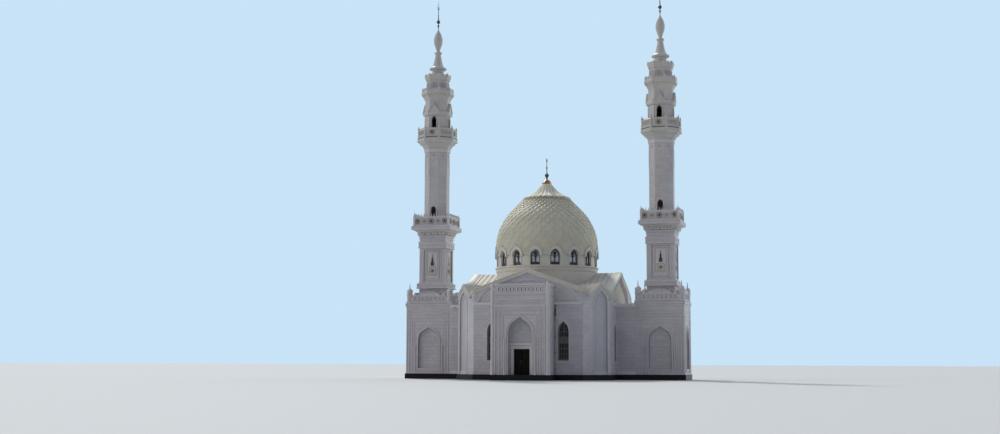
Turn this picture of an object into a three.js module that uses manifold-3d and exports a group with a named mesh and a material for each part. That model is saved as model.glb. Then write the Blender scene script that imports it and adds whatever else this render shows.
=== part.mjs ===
// Domed mosque hall with an entrance portal and two minarets, modelled at half size.
// Dimensions are metres of the real building; the finished meshes are millimetres of the model.
import * as THREE from "three";
import { mergeVertices } from "three/addons/utils/BufferGeometryUtils.js";
import Module from "manifold-3d";

const wasm = await Module();
wasm.setup();

const MODEL_MM = 500; // millimetres in the model for one real metre
const GAP = 0.0006; // joint between cut pieces, 0.3 mm in the model
const MIDDLE_Y = -1.735; // middle of the plinth in depth; the dome stands at 0, 0

const PLINTH = { top: 0.6, proud: 0.15 };
const HALL = { front: 9.4, side: 8.85, corner: 15.65, wall: 0.6, eaves: 8.4, doorHalf: 2 };
const ROOF = { thick: 0.4, sideScale: 0.92, roomScale: 0.95, above: 13 };
const WINDOW = { at: 4.05, half: 0.62, sill: 2.17, spring: 5.35, apex: 6.5 };
const CORNER_NICHE = { half: 0.83, sill: 0.5, spring: 8.5, apex: 9.95, at: 0.23, deep: 0.3 };
const PASSAGE = { half: 0.9, spring: 2.7, apex: 3.5 };
const LINK = { half: 3, top: 8.6, end: 11.02, wall: 0.55 };
const PORTAL = { front: 12.87, half: 3.05, top: 10.5, wall: 0.6, roof: 10, rear: 11.4, parapet: 0.3 };
const NICHE = { half: 1.32, sill: 0.5, spring: 5.2, apex: 6.85, back: 11.97 };
const DOOR = {
  half: 0.88, top: 3.4, axisX: 0.829, axisY: -11.88, thick: 0.08, clear: 0.011, pin: 0.025, seat: 0.05,
};
const DRUM = { radius: 5.9, wall: 0.5, foot: 10.2, base: 12.4, top: 15.2, windows: 16 };
const DOME = { segments: 48, wall: 0.4 };
const MINARET_X = 13.77;
const TOWER = { half: 2.75, wall: 0.6, top: 8.6 };
const TOWER_NICHE = { half: 1.3, sill: 1.2, spring: 4.6, apex: 6.05, deep: 0.3 };
const SHAFT_HOLE = 1;
const FOUR_SIDES = [0, 90, 180, 270];
const EIGHT_SIDES = [0, 45, 90, 135, 180, 225, 270, 315];

// Outer line of the keel-shaped roof section, from the ridge to the eaves.
const KEEL = [[0, 12.38], [0.9, 12], [3.2, 11.2], [5.9, 10.2], [6.6, 9.8], [7.15, 9.3], [7.5, 8.9],
  [7.7, 8.4]];
// Inner line of the recessed gable field, and its depth.
const FIELD = [[0, 12], [2, 11.2], [4.2, 10.4], [5.18, 9.7], [5.74, 8.8], [5.9, 8.6]];
const FIELD_DEPTH = 0.25;
// Half the head of a keel arch, from its apex, in shares of the half width and of the rise.
const KEEL_ARCH = [[0, 1], [0.37, 0.81], [0.77, 0.57], [0.92, 0.33], [1, 0]];
// Outer radius of the dome by height.
const DOME_LINE = [[6.05, 15.2], [6.01, 15.8], [5.95, 16.4], [5.81, 17], [5.61, 17.6], [5.3, 18.2],
  [4.97, 18.8], [4.5, 19.4], [3.91, 20], [3.29, 20.6], [2.62, 21.3]];

// Solids: closed triangle meshes that can be joined and cut.
function toSolid(geometry) {
  const bare = new THREE.BufferGeometry();
  const source = geometry.index ? geometry.toNonIndexed() : geometry;
  bare.setAttribute("position", source.getAttribute("position"));
  const merged = mergeVertices(bare, 1e-5);
  return new wasm.Manifold(new wasm.Mesh({
    numProp: 3,
    vertProperties: merged.attributes.position.array,
    triVerts: new Uint32Array(merged.index.array),
  }));
}

function toGeometry(solid) {
  const made = solid.getMesh();
  const geometry = new THREE.BufferGeometry();
  const positions = new Float32Array(made.numVert * 3);
  for (let i = 0; i < made.numVert; i++) {
    for (let k = 0; k < 3; k++) {
      positions[i * 3 + k] = made.vertProperties[i * made.numProp + k];
    }
  }
  geometry.setAttribute("position", new THREE.BufferAttribute(positions, 3));
  geometry.setIndex(new THREE.BufferAttribute(made.triVerts, 1));
  return geometry;
}

const joined = (...solids) => solids.reduce((a, b) => a.add(b));
const cut = (solid, ...tools) => tools.reduce((a, b) => a.subtract(b), solid);

function box(x0, x1, y0, y1, z0, z1) {
  const geometry = new THREE.BoxGeometry(x1 - x0, y1 - y0, z1 - z0);
  geometry.translate((x0 + x1) / 2, (y0 + y1) / 2, (z0 + z1) / 2);
  return toSolid(geometry);
}

function shapeOf(points) {
  return new THREE.Shape(points.map(([u, v]) => new THREE.Vector2(u, v)));
}

// A floor plan outline (x, y) raised from one height to another.
function raised(points, z0, z1) {
  const geometry = new THREE.ExtrudeGeometry(shapeOf(points), { depth: z1 - z0, bevelEnabled: false });
  geometry.translate(0, 0, z0);
  return toSolid(geometry);
}

// An upright outline (across, height) given depth between two distances from the centre.
// Turn 0 faces the front, 90 the right side.
function upright(points, near, far, turn = 0) {
  const geometry = new THREE.ExtrudeGeometry(shapeOf(points), { depth: far - near, bevelEnabled: false });
  geometry.translate(0, 0, near);
  geometry.rotateX(Math.PI / 2);
  geometry.rotateZ(THREE.MathUtils.degToRad(turn));
  return toSolid(geometry);
}

// A closed outline of [radius, height] turned about the vertical axis.
function turned(points, segments, x = 0, y = 0) {
  const profile = [...points, points[0]].map(([r, z]) => new THREE.Vector2(r, z));
  const geometry = new THREE.LatheGeometry(profile, segments, Math.PI / segments);
  geometry.rotateX(Math.PI / 2);
  geometry.translate(x, y, 0);
  return toSolid(geometry);
}

// The same with flat sides: the outline gives the distance from the axis to each side.
function flatSided(points, sides) {
  const toCorner = 1 / Math.cos(Math.PI / sides);
  return turned(points.map(([a, z]) => [a * toCorner, z]), sides);
}

// A pointed opening: straight sides, then two arcs that meet at the apex.
function pointed(half, sill, spring, apex, steps = 5) {
  const rise = apex - spring;
  const inset = (rise * rise - half * half) / (2 * half);
  const radius = half + inset;
  const last = Math.atan2(rise, inset);
  const right = [];
  for (let i = 0; i <= steps; i++) {
    const angle = (last * i) / steps;
    right.push([radius * Math.cos(angle) - inset, spring + radius * Math.sin(angle)]);
  }
  right[steps][0] = 0;
  const left = right.slice(0, steps).reverse().map(([u, z]) => [-u, z]);
  return [[-half, sill], [half, sill], ...right, ...left];
}

// An opening under a keel arch, with straight sides.
function keelArch({ half, sill, spring, apex }, middle = 0) {
  const head = KEEL_ARCH.map(([u, v]) => [u * half, spring + v * (apex - spring)]);
  return mirroredOutline(head, sill).map(([u, z]) => [u + middle, z]);
}

// Half an outline, ridge first, completed to both sides and closed at the given height.
function mirroredOutline(halfLine, foot) {
  const right = [...halfLine].reverse();
  const left = halfLine.slice(1).map(([u, z]) => [-u, z]);
  const widest = right[0][0];
  return [[-widest, foot], [widest, foot], ...right, ...left];
}

// Hall: outer block with its vaults, less the room inside.
function footprint(inset) {
  const front = HALL.front - inset;
  const side = HALL.side - inset;
  const corner = HALL.corner - inset * Math.SQRT2;
  const a = corner - front;
  const b = corner - side;
  return [[-a, -front], [a, -front], [side, -b], [side, b], [a, front], [-a, front], [-side, b],
    [-side, -b]];
}

// Arched heads of the corner walls, each with a small roof that runs back into the vaults.
const DORMER = { at: 0.17, half: 1.5, foot: 8, shoulder: 9.2, apex: 10.75, rear: 6.5 };

function dormerLine(grow, hand) {
  const { at, half, foot, shoulder, apex } = DORMER;
  const line = [
    [0, apex + grow], [half * 0.45, apex - 0.62 + grow], [half * 0.85, shoulder + 0.45 + grow],
    [half + grow, shoulder],
  ];
  return mirroredOutline(line, foot).map(([u, z]) => [u + at * hand, z]);
}

function vaults(depth, side, drop, scale) {
  const line = KEEL.map(([u, z]) => [u * scale, z - drop]);
  const across = line.map(([u, z]) => [u * ROOF.sideScale, z]);
  const foot = HALL.eaves - drop - 1;
  return joined(
    upright(mirroredOutline(line, foot), -depth, depth),
    upright(mirroredOutline(across, foot), -side, side, 90),
  );
}

function dormers(grow, far) {
  return joined(...[[45, 1], [135, -1], [225, 1], [315, -1]].map(
    ([turn, hand]) => upright(dormerLine(grow, hand), DORMER.rear, far, turn),
  ));
}

const cornerDistance = HALL.corner / Math.SQRT2;
const hallOuter = joined(
  raised(footprint(0), PLINTH.top, HALL.eaves),
  raised(footprint(0), HALL.eaves - 0.1, ROOF.above).intersect(
    vaults(HALL.front + 1, HALL.side + 1, 0, 1).add(dormers(0, cornerDistance + 1)),
  ),
);
const hallRoom = joined(
  raised(footprint(HALL.wall), PLINTH.top - 1, HALL.eaves - ROOF.thick),
  raised(footprint(HALL.wall), HALL.eaves - ROOF.thick - 0.1, ROOF.above).intersect(
    vaults(HALL.front, HALL.side, ROOF.thick, ROOF.roomScale).add(dormers(-ROOF.thick, cornerDistance)),
  ),
);

// Plan outline of one end wall between its two corner joints.
function endWallPlan(distance, inner, halfOuter, halfInner) {
  return [[-halfOuter, -distance], [halfOuter, -distance], [halfInner, -inner], [-halfInner, -inner]];
}

const inwards = HALL.corner - HALL.wall * Math.SQRT2;
const frontInner = HALL.front - HALL.wall;
const sideInner = HALL.side - HALL.wall;
const frontHalf = HALL.corner - HALL.front - GAP;
const frontHalfInner = inwards - frontInner - GAP;
const sideHalf = HALL.corner - HALL.side - GAP;
const sideHalfInner = inwards - sideInner - GAP;
const frontPlan = endWallPlan(HALL.front, frontInner, frontHalf, frontHalfInner);
const sidePlan = endWallPlan(HALL.side, sideInner, sideHalf, sideHalfInner).map(([x, y]) => [-y, x]);
const cornerPlan = [
  [frontHalf + 2 * GAP, -HALL.front],
  [HALL.side, -sideHalf - 2 * GAP],
  [sideInner, -sideHalfInner - 2 * GAP],
  [frontHalfInner + 2 * GAP, -frontInner],
];

const windowHole = (middle, distance, turn) =>
  upright(keelArch(WINDOW, middle), distance - 1, distance + 1, turn);
const fieldCut = (distance, turn, scale) => {
  const outline = mirroredOutline(FIELD.map(([u, z]) => [u * scale, z]), HALL.eaves + 0.2);
  return upright(outline, distance - FIELD_DEPTH, distance + 1, turn);
};

const frontWall = raised(frontPlan, PLINTH.top, HALL.eaves);
const frontWallRight = cut(
  frontWall.intersect(box(HALL.doorHalf, HALL.side, -HALL.front, 0, PLINTH.top, HALL.eaves)),
  windowHole(WINDOW.at, HALL.front, 0),
);
const gable = cut(
  raised(frontPlan, HALL.eaves, ROOF.above).intersect(hallOuter),
  fieldCut(HALL.front, 0, 1),
);
const frontGable = cut(gable, box(-HALL.side, HALL.side, -HALL.front, 0, 0, HALL.eaves + GAP));
const backWall = cut(
  frontWall.add(gable),
  windowHole(WINDOW.at, HALL.front, 0),
  windowHole(-WINDOW.at, HALL.front, 0),
);

const passage = (near, far, turn) =>
  upright(pointed(PASSAGE.half, PLINTH.top - 0.1, PASSAGE.spring, PASSAGE.apex), near, far, turn);
const linkRoof = LINK.top - LINK.wall;
const sideWallRight = cut(
  joined(
    raised(sidePlan, PLINTH.top, ROOF.above).intersect(hallOuter),
    box(HALL.side - 0.1, LINK.end - GAP, -LINK.half, LINK.half, PLINTH.top, LINK.top),
  ),
  box(HALL.side, LINK.end + 1, LINK.wall - LINK.half, LINK.half - LINK.wall, 0, linkRoof),
  fieldCut(HALL.side, 90, ROOF.sideScale),
  passage(HALL.side - 1, HALL.side + 1, 90),
  windowHole(WINDOW.at, HALL.side, 90),
  windowHole(-WINDOW.at, HALL.side, 90),
);

const cornerNicheOutline = keelArch(CORNER_NICHE, CORNER_NICHE.at);
const cornerNicheBack = cornerDistance - CORNER_NICHE.deep;
const cornerWallFrontRight = cut(
  raised(cornerPlan, PLINTH.top, ROOF.above).intersect(hallOuter),
  upright(cornerNicheOutline, cornerNicheBack, cornerDistance + 1, 45),
);

// Roof arms: the vaulted shell inside the walls, cut by the drum and along the diagonals.
const drumHole = [
  [0, 0], [DRUM.radius + GAP, 0], [DRUM.radius + GAP, ROOF.above], [0, ROOF.above],
];
const shell = cut(
  hallOuter.intersect(raised(footprint(HALL.wall + GAP), HALL.eaves - ROOF.thick, ROOF.above)),
  hallRoom,
  turned(drumHole, DOME.segments),
);
const quarter = [[0, GAP], [HALL.corner, HALL.corner + GAP], [-HALL.corner, HALL.corner + GAP]];
const roofFront = shell.intersect(raised(quarter.map(([u, v]) => [-u, -v]), 0, ROOF.above));
const roofRight = shell.intersect(raised(quarter.map(([u, v]) => [v, -u]), 0, ROOF.above));

// Portal: two piers below the door head, one block above it.
function colonnette(z0, z1, x, y) {
  const line = [[0.2, 0.6], [0.2, 9.35], [0.27, 9.45], [0.16, 9.6], [0.16, 10.1], [0.24, 10.25],
    [0.17, 10.5], [0.03, 10.75]];
  const whole = turned([[0, 0.6], ...line, [0, 10.75]], 12, x, y);
  return whole.intersect(box(x - 1, x + 1, y - 1, y + 1, z0, z1));
}

const portalCornerX = PORTAL.half + 0.05;
const portalCornerY = -PORTAL.front + 0.12;
const nicheVoid = upright(keelArch(NICHE), NICHE.back, PORTAL.front + 1);
const vestibule = box(
  PORTAL.wall - PORTAL.half, PORTAL.half - PORTAL.wall, -PORTAL.rear, -HALL.front + 1,
  PLINTH.top - 0.1, PORTAL.roof - 0.4,
);
const portalBlock = box(
  -PORTAL.half, PORTAL.half, -PORTAL.front, -HALL.front - GAP, PLINTH.top, PORTAL.top,
);
const portalPierRight = cut(
  joined(
    portalBlock.intersect(box(DOOR.half, PORTAL.half, -PORTAL.front, 0, PLINTH.top, DOOR.top)),
    colonnette(PLINTH.top, DOOR.top, portalCornerX, portalCornerY),
  ),
  nicheVoid,
  vestibule,
);
const portalHeadBlock = cut(
  joined(
    portalBlock.intersect(box(-PORTAL.half, PORTAL.half, -PORTAL.front, 0, DOOR.top + GAP, PORTAL.top)),
    colonnette(DOOR.top + GAP, ROOF.above, portalCornerX, portalCornerY),
    colonnette(DOOR.top + GAP, ROOF.above, -portalCornerX, portalCornerY),
  ),
  nicheVoid,
  vestibule,
  box(
    PORTAL.parapet - PORTAL.half, PORTAL.half - PORTAL.parapet, PORTAL.parapet - PORTAL.front, 0,
    PORTAL.roof, ROOF.above,
  ),
);
const upToHead = [PLINTH.top + DOOR.clear, DOOR.top - DOOR.clear];
const post = (radius, z0, z1, x = DOOR.axisX) =>
  turned([[0, z0], [radius, z0], [radius, z1], [0, z1]], 24, x, DOOR.axisY);
const leafRight = joined(
  box(DOOR.clear, DOOR.axisX, DOOR.axisY - DOOR.thick / 2, DOOR.axisY + DOOR.thick / 2, ...upToHead),
  post(DOOR.thick / 2, ...upToHead),
  post(DOOR.pin, PLINTH.top - DOOR.seat + 0.01, DOOR.top + DOOR.seat - 0.01),
);
const seatSpan = [DOOR.pin + GAP, PLINTH.top - DOOR.seat, DOOR.top + DOOR.seat];
const pinSeats = post(...seatSpan).add(post(...seatSpan, -DOOR.axisX));
const portalHead = cut(portalHeadBlock, pinSeats);

// One glass sheet lines the walls behind all hall windows, open at the entrance and the passages.
const windowGlass = cut(
  raised(footprint(HALL.wall + GAP), WINDOW.sill - 0.2, WINDOW.apex + 0.2),
  raised(footprint(HALL.wall + 0.05), 0, HALL.eaves),
  box(-HALL.doorHalf, HALL.doorHalf, -HALL.front, 0, 0, HALL.eaves),
  passage(0, HALL.side, 90),
  passage(0, HALL.side, 270),
);

// Drum with its ring of hooded windows.
const drumIn = DRUM.radius - DRUM.wall;
let drum = turned([
  [drumIn, DRUM.foot], [DRUM.radius, DRUM.foot], [DRUM.radius, DRUM.base], [6, DRUM.base], [6, 12.85],
  [6.13, 12.85], [6.13, 13], [DRUM.radius, 13.05], [DRUM.radius, 14.3], [6.04, 14.45],
  [6.05, DRUM.top], [drumIn, DRUM.top],
], DOME.segments);
const hoodOutline = pointed(0.84, 13.9, 14.3, DRUM.top, 3);
const drumWindowOutline = pointed(0.55, 13.05, 14.15, 14.88, 3);
for (let i = 0; i < DRUM.windows; i++) {
  const turn = (360 / DRUM.windows) * i;
  drum = drum.add(upright(hoodOutline, DRUM.radius - 0.2, DRUM.radius + 0.28, turn));
}
for (let i = 0; i < DRUM.windows; i++) {
  const turn = (360 / DRUM.windows) * i;
  drum = drum.subtract(upright(drumWindowOutline, drumIn - 0.4, DRUM.radius + 1, turn));
}
const drumGlass = turned([
  [drumIn - 0.06, 12.9], [drumIn - GAP, 12.9], [drumIn - GAP, 15.05], [drumIn - 0.06, 15.05],
], DOME.segments);

// Dome shell, ribbed cap and finial.
const domeTop = DOME_LINE[DOME_LINE.length - 1][1];
const domeInner = DOME_LINE.map(([r, z]) => [r - DOME.wall, z]).reverse();
const domeShell = turned([...DOME_LINE, ...domeInner], DOME.segments);
const domeCap = turned([
  [0, 22.3], [1.2, 22.1], [domeInner[0][0], domeTop], [2.74, domeTop], [2.69, 21.4], [2.31, 21.62],
  [1.8, 21.86], [1.39, 22.17], [1.03, 22.53], [0.7, 22.89], [0.52, 23.05], [0, 23.05],
], DOME.segments);

// A disc that faces the sides of the building.
function disc(radius, z, thick) {
  const geometry = new THREE.CylinderGeometry(radius, radius, thick, 40);
  geometry.rotateZ(Math.PI / 2);
  geometry.translate(0, 0, z);
  return toSolid(geometry);
}

const crescent = (middle, outer) =>
  cut(disc(outer, middle, 0.05), disc(outer * 0.72, middle + outer * 0.42, 1));

const domeFinial = turned([
  [0, 23.05], [0.52, 23.05], [0.52, 23.3], [0.4, 23.5], [0.14, 23.6], [0.14, 23.95], [0.24, 24.16],
  [0.14, 24.38], [0.05, 24.5], [0.05, 24.95], [0.1, 25.06], [0.05, 25.17], [0.03, 25.75], [0, 25.75],
], 16).add(crescent(25.98, 0.27));

// Minaret pieces, on their own axis.
const towerTube = flatSided([
  [TOWER.half - TOWER.wall, PLINTH.top], [TOWER.half, PLINTH.top], [TOWER.half, TOWER.top],
  [TOWER.half - TOWER.wall, TOWER.top],
], 4);
const blindNiche = (turn) =>
  upright(keelArch(TOWER_NICHE), TOWER.half - TOWER_NICHE.deep, TOWER.half + 1, turn);
const innerDoor = passage(TOWER.half - 1, TOWER.half + 1, 270);
const tower = cut(towerTube, blindNiche(0), blindNiche(90), blindNiche(180), innerDoor);

const PARAPET = [[0, 10.2], [0.9, 10.12], [1.6, 9.8], [2.45, 9.66]];
const turretLine = [[0, 8.9], [0.32, 8.9], [0.32, 9.95], [0.38, 9.98], [0.38, 10.05], [0.28, 10.1],
  [0.33, 10.3], [0.25, 10.5], [0.06, 10.67], [0.03, 11.3], [0, 11.3]];
let towerCrown = flatSided([
  [SHAFT_HOLE, 8.6], [2.9, 8.6], [2.9, 8.9], [2, 8.9], [2, 10.2], [1.62, 10.2], [1.62, 10.65],
  [1.85, 10.75], [1.85, 11.3], [SHAFT_HOLE, 11.3],
], 4);
for (const turn of FOUR_SIDES) {
  towerCrown = towerCrown.add(upright(mirroredOutline(PARAPET, 8.8), 2.5, TOWER.half, turn));
}
for (const [x, y] of [[1, 1], [1, -1], [-1, 1], [-1, -1]]) {
  towerCrown = towerCrown.add(turned(turretLine, 12, x * 2.5, y * 2.5));
}

const slitOutline = mirroredOutline([[0, 14.9], [0.1, 14.35], [0.24, 13.9]], 13.42);
const panelOutline = mirroredOutline([[0, 15.4], [1.07, 15.4]], 11.6);
const squareShaft = cut(
  flatSided([
    [1.1, 11.3], [1.62, 11.3], [1.62, 15.6], [1.72, 15.65], [1.72, 16.3], [1.62, 16.35], [1.62, 17.15],
    [1.1, 17.15],
  ], 4),
  ...FOUR_SIDES.map((turn) => upright(slitOutline, 0.5, 2, turn)),
  ...FOUR_SIDES.map((turn) => upright(panelOutline, 1.54, 2, turn)),
);

const lowerBalcony = flatSided([
  [SHAFT_HOLE, 17.15], [1.65, 17.15], [1.75, 17.4], [2.05, 17.65], [2.4, 17.8], [2.4, 18.25],
  [2.18, 18.25], [2.18, 19.35], [2, 19.35], [2, 18.25], [SHAFT_HOLE, 18.25],
], 4);

const shaftDoor = (half, z0, spring, apex, turn) =>
  upright(pointed(half, z0, spring, apex, 3), 0.5, 2, turn);
const octagonShaft = cut(
  flatSided([[SHAFT_HOLE, 18.25], [1.4, 18.25], [1.4, 27.7], [SHAFT_HOLE, 27.7]], 8),
  shaftDoor(0.33, 18.2, 20.3, 20.7, 0),
);

const upperBalcony = flatSided([
  [SHAFT_HOLE, 27.7], [1.42, 27.7], [1.55, 27.95], [1.9, 28.4], [2.25, 28.65], [2.25, 29.3],
  [2.15, 29.3], [2.15, 30.12], [2, 30.12], [2, 29.3], [SHAFT_HOLE, 29.3],
], 8);

const STAGE_GABLE = { half: 0.69, foot: 32.1, valley: 32.3, apex: 33.4, out: 1.72 };
const gableOutline = mirroredOutline(
  [[0, STAGE_GABLE.apex], [STAGE_GABLE.half, STAGE_GABLE.valley]], STAGE_GABLE.foot,
);
const upperStage = cut(
  joined(
    flatSided([
      [SHAFT_HOLE, 29.3], [1.44, 29.3], [1.44, 32], [1.62, 32.1], [1.68, 32.3], [1.4, 32.4], [1.4, 34.1],
      [1.84, 34.6], [1.84, 34.85], [1.76, 35.1], [1.25, 35.12], [1.25, 36.3], [1.5, 36.9], [1.5, 37.1],
      [0, 37.1], [0, 36.9], [SHAFT_HOLE, 36.9],
    ], 8),
    ...EIGHT_SIDES.map((turn) => upright(gableOutline, SHAFT_HOLE + 0.2, STAGE_GABLE.out, turn)),
  ),
  shaftDoor(0.3, 29.35, 31.4, 31.75, 0),
  ...[90, 180, 270].map((turn) => shaftDoor(0.3, 30.4, 31.4, 31.75, turn)),
);

const spire = turned([
  [0, 37.1], [0.72, 37.1], [0.72, 37.7], [1.02, 37.72], [1.02, 37.95], [0.66, 38.25], [0.48, 38.9],
  [0.34, 39.67], [0.41, 39.85], [0.41, 39.95], [0.23, 40.1], [0.24, 40.3], [0.38, 40.75],
  [0.5, 41.15], [0.53, 41.5], [0.47, 41.9], [0.28, 42.4], [0.12, 42.7], [0.05, 42.87], [0, 42.87],
], 24);
const minaretFinial = turned([
  [0, 42.87], [0.05, 42.87], [0.05, 43.16], [0.12, 43.3], [0.05, 43.42], [0.06, 43.55], [0.22, 43.8],
  [0.1, 44.05], [0.06, 44.4], [0.03, 45.35], [0, 45.35],
], 12).add(crescent(45.6, 0.3)).add(turned([
  [0, 45.25], [0.03, 45.25], [0.03, 46.1], [0, 46.5],
], 12));

// Plinth: one slab under the whole plan.
const out = PLINTH.proud;
const towerOut = TOWER.half + out;
const portalFoot = PORTAL.half + 0.25;
const plinth = cut(joined(
  raised(footprint(-out), 0, PLINTH.top),
  box(-MINARET_X, MINARET_X, -LINK.half - out, LINK.half + out, 0, PLINTH.top),
  box(MINARET_X - towerOut, MINARET_X + towerOut, -towerOut, towerOut, 0, PLINTH.top),
  box(-MINARET_X - towerOut, -MINARET_X + towerOut, -towerOut, towerOut, 0, PLINTH.top),
  box(-portalFoot, portalFoot, -PORTAL.front - out, -HALL.front, 0, PLINTH.top),
), pinSeats);

// The assembly.
const COLOURS = {
  marble: 0xdcd8d6, roof: 0xd9d2c2, dome: 0xd8c9a4, granite: 0x2a292b, glass: 0x1b2026, metal: 0x9a6a3c,
  door: 0x1d1a19, cap: 0xe0d6c0,
};
const mosque = new THREE.Group();

function place(name, solid, colour, { x = 0, mirrorX = false, mirrorY = false } = {}) {
  const geometry = toGeometry(solid);
  const mesh = new THREE.Mesh(geometry, new THREE.MeshStandardMaterial({ color: COLOURS[colour] }));
  mesh.name = name;
  mesh.scale.set(mirrorX ? -MODEL_MM : MODEL_MM, mirrorY ? -MODEL_MM : MODEL_MM, MODEL_MM);
  mesh.position.set(x * MODEL_MM, -MIDDLE_Y * MODEL_MM, 0);
  mosque.add(mesh);
}

place("plinth", plinth, "granite");
place("front_gable", frontGable, "marble");
place("back_wall", backWall, "marble", { mirrorY: true });
place("roof_front", roofFront, "roof");
place("roof_back", roofFront, "roof", { mirrorY: true });
place("portal_head", portalHead, "marble");
place("window_glass", windowGlass, "glass");
place("drum", drum, "dome");
place("drum_glass", drumGlass, "glass");
place("dome_shell", domeShell, "dome");
place("dome_cap", domeCap, "cap");
place("dome_finial", domeFinial, "metal");

for (const [side, mirrorX] of [["left", true], ["right", false]]) {
  place(`front_wall_${side}`, frontWallRight, "marble", { mirrorX });
  place(`side_wall_${side}`, sideWallRight, "marble", { mirrorX });
  place(`corner_wall_front_${side}`, cornerWallFrontRight, "marble", { mirrorX });
  place(`corner_wall_back_${side}`, cornerWallFrontRight, "marble", { mirrorX, mirrorY: true });
  place(`roof_${side}`, roofRight, "roof", { mirrorX });
  place(`portal_pier_${side}`, portalPierRight, "marble", { mirrorX });
  place(`door_leaf_${side}`, leafRight, "door", { mirrorX });

  const axis = { x: mirrorX ? -MINARET_X : MINARET_X, mirrorX };
  const minaret = {
    tower: [tower, "marble"], tower_crown: [towerCrown, "marble"], square_shaft: [squareShaft, "marble"],
    lower_balcony: [lowerBalcony, "marble"], octagon_shaft: [octagonShaft, "marble"],
    upper_balcony: [upperBalcony, "marble"], upper_stage: [upperStage, "marble"], spire: [spire, "cap"],
    finial: [minaretFinial, "metal"],
  };
  for (const [piece, [solid, colour]] of Object.entries(minaret)) {
    place(`minaret_${side}_${piece}`, solid, colour, axis);
  }
}

export default mosque;
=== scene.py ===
# Looks of the domed mosque hall with its portal and two minarets.
# Lengths are metres of the real building; make() turns them into metres of the half-size model.
import math
import random

import bmesh
import bpy
from mathutils import Euler, Matrix, Vector
from mathutils.bvhtree import BVHTree


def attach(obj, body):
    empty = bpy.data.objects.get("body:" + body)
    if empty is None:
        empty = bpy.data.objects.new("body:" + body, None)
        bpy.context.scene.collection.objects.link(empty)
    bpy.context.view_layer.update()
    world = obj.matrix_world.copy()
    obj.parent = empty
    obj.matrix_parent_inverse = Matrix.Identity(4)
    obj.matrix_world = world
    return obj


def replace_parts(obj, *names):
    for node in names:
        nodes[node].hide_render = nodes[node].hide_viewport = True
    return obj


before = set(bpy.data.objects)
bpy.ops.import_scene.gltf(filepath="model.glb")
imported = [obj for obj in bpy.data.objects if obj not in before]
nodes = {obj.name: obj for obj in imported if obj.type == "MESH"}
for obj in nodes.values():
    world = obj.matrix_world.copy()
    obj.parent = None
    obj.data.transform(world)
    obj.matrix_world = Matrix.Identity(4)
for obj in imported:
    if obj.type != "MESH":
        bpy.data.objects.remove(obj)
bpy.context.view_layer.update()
rng = random.Random(7)

REAL = 0.5  # model metres for one real metre
MIDDLE_Y = -1.735  # middle of the building in depth; the dome stands at 0, 0
GROUND = 0.62  # foot of the trim, just above the plinth
FRONT = 9.4  # front and back walls, from the dome's axis
SIDE = 8.85  # side walls, from the dome's axis
SIDE_SCALE = 0.92  # width of the side vaults for that of the front and back ones
FACET_SUM = 15.65  # sum of both distances along the corner walls
CORNER = FACET_SUM / math.sqrt(2)
PORTAL_FRONT = 12.87
RECESS = 11.95  # wall round the doors, inside the portal
LINK_HALF = 3.0
DRUM_R = 5.9
MINARET_X = 13.77

# Distances of the minarets' faces from their axes, from the ground up.
TOWER = 2.75
SHAFT = 1.7
BALCONY = 2.18
OCTAGON_SHAFT = 1.4
UPPER_BALCONY = 2.15
STAGE_WALL = 1.44
STAGE_INSIDE = 1.2

QUARTERS = (0, 90, 180, 270)
DIAGONALS = (45, 135, 225, 315)
OCTAGON = [45 * i for i in range(8)]
CORNERS = [(-1, -1), (-1, 1), (1, -1), (1, 1)]
ENDS = {0: (FRONT, 1.0), 90: (SIDE, SIDE_SCALE), 180: (FRONT, 1.0), 270: (SIDE, SIDE_SCALE)}
HANDS = (-1, 1)
RISE_8 = math.tan(math.pi / 8)
ROUND = 96

KEEL = [(0, 12.38), (0.9, 12), (3.2, 11.2), (5.9, 10.2), (6.6, 9.8), (7.15, 9.3), (7.5, 8.9), (7.7, 8.4)]
FIELD = [(0, 12), (2, 11.2), (4.2, 10.4), (5.18, 9.7), (5.74, 8.8), (5.9, 8.6)]
DOME = [(6.03, 14.42), (6.05, 14.8), (6.05, 15.2), (6.01, 15.8), (5.95, 16.4), (5.81, 17), (5.61, 17.6),
        (5.3, 18.2), (4.97, 18.8), (4.5, 19.4), (3.91, 20), (3.29, 20.6), (2.62, 21.3)]
DORMER_AT = 0.17
DORMER = [(0, 10.75), (0.675, 10.13), (1.275, 9.65), (1.5, 9.2)]
KEEL_ARCH = [(0, 1), (0.37, 0.81), (0.77, 0.57), (0.92, 0.33), (1, 0)]


# Places: each returns a function from (across, out, up) to real coordinates.
def side(turn, x=0.0, y=0.0, flip=1, face=0.0):
    """A flat wall at a distance from (x, y) that faces the given way: 0 is the front, 90 the right."""
    c, s = math.cos(math.radians(turn)), math.sin(math.radians(turn))

    def at(u, d, z):
        d += face
        return x + flip * u * c + d * s, y + flip * u * s - d * c, z
    return at


def around(turn, radius):
    """A round wall: across is measured along the circle of the given radius."""
    def at(u, d, z):
        a = math.radians(turn) + u / radius
        return d * math.sin(a), -d * math.cos(a), z
    return at


def walls(turns, x=0.0, face=0.0):
    """Each turn with its flat wall round an upright axis."""
    return [(turn, side(turn, x, face=face)) for turn in turns]


# Outlines in (across, up).
def arch_inset(half, rise):
    """How far the centre of a pointed arch's side lies past its middle."""
    return (rise * rise - half * half) / (2 * half)


def opening(half, sill, spring, apex, middle=0.0, steps=8):
    """A pointed opening with straight jambs, right foot first."""
    inset = arch_inset(half, apex - spring)
    last = math.atan2(apex - spring, inset)
    right = [(half, sill)]
    for i in range(steps):
        a = last * i / steps
        right.append(((half + inset) * math.cos(a) - inset, spring + (half + inset) * math.sin(a)))
    return [(u + middle, z) for u, z in right + [(0.0, apex)] + [(-u, z) for u, z in reversed(right)]]


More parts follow.
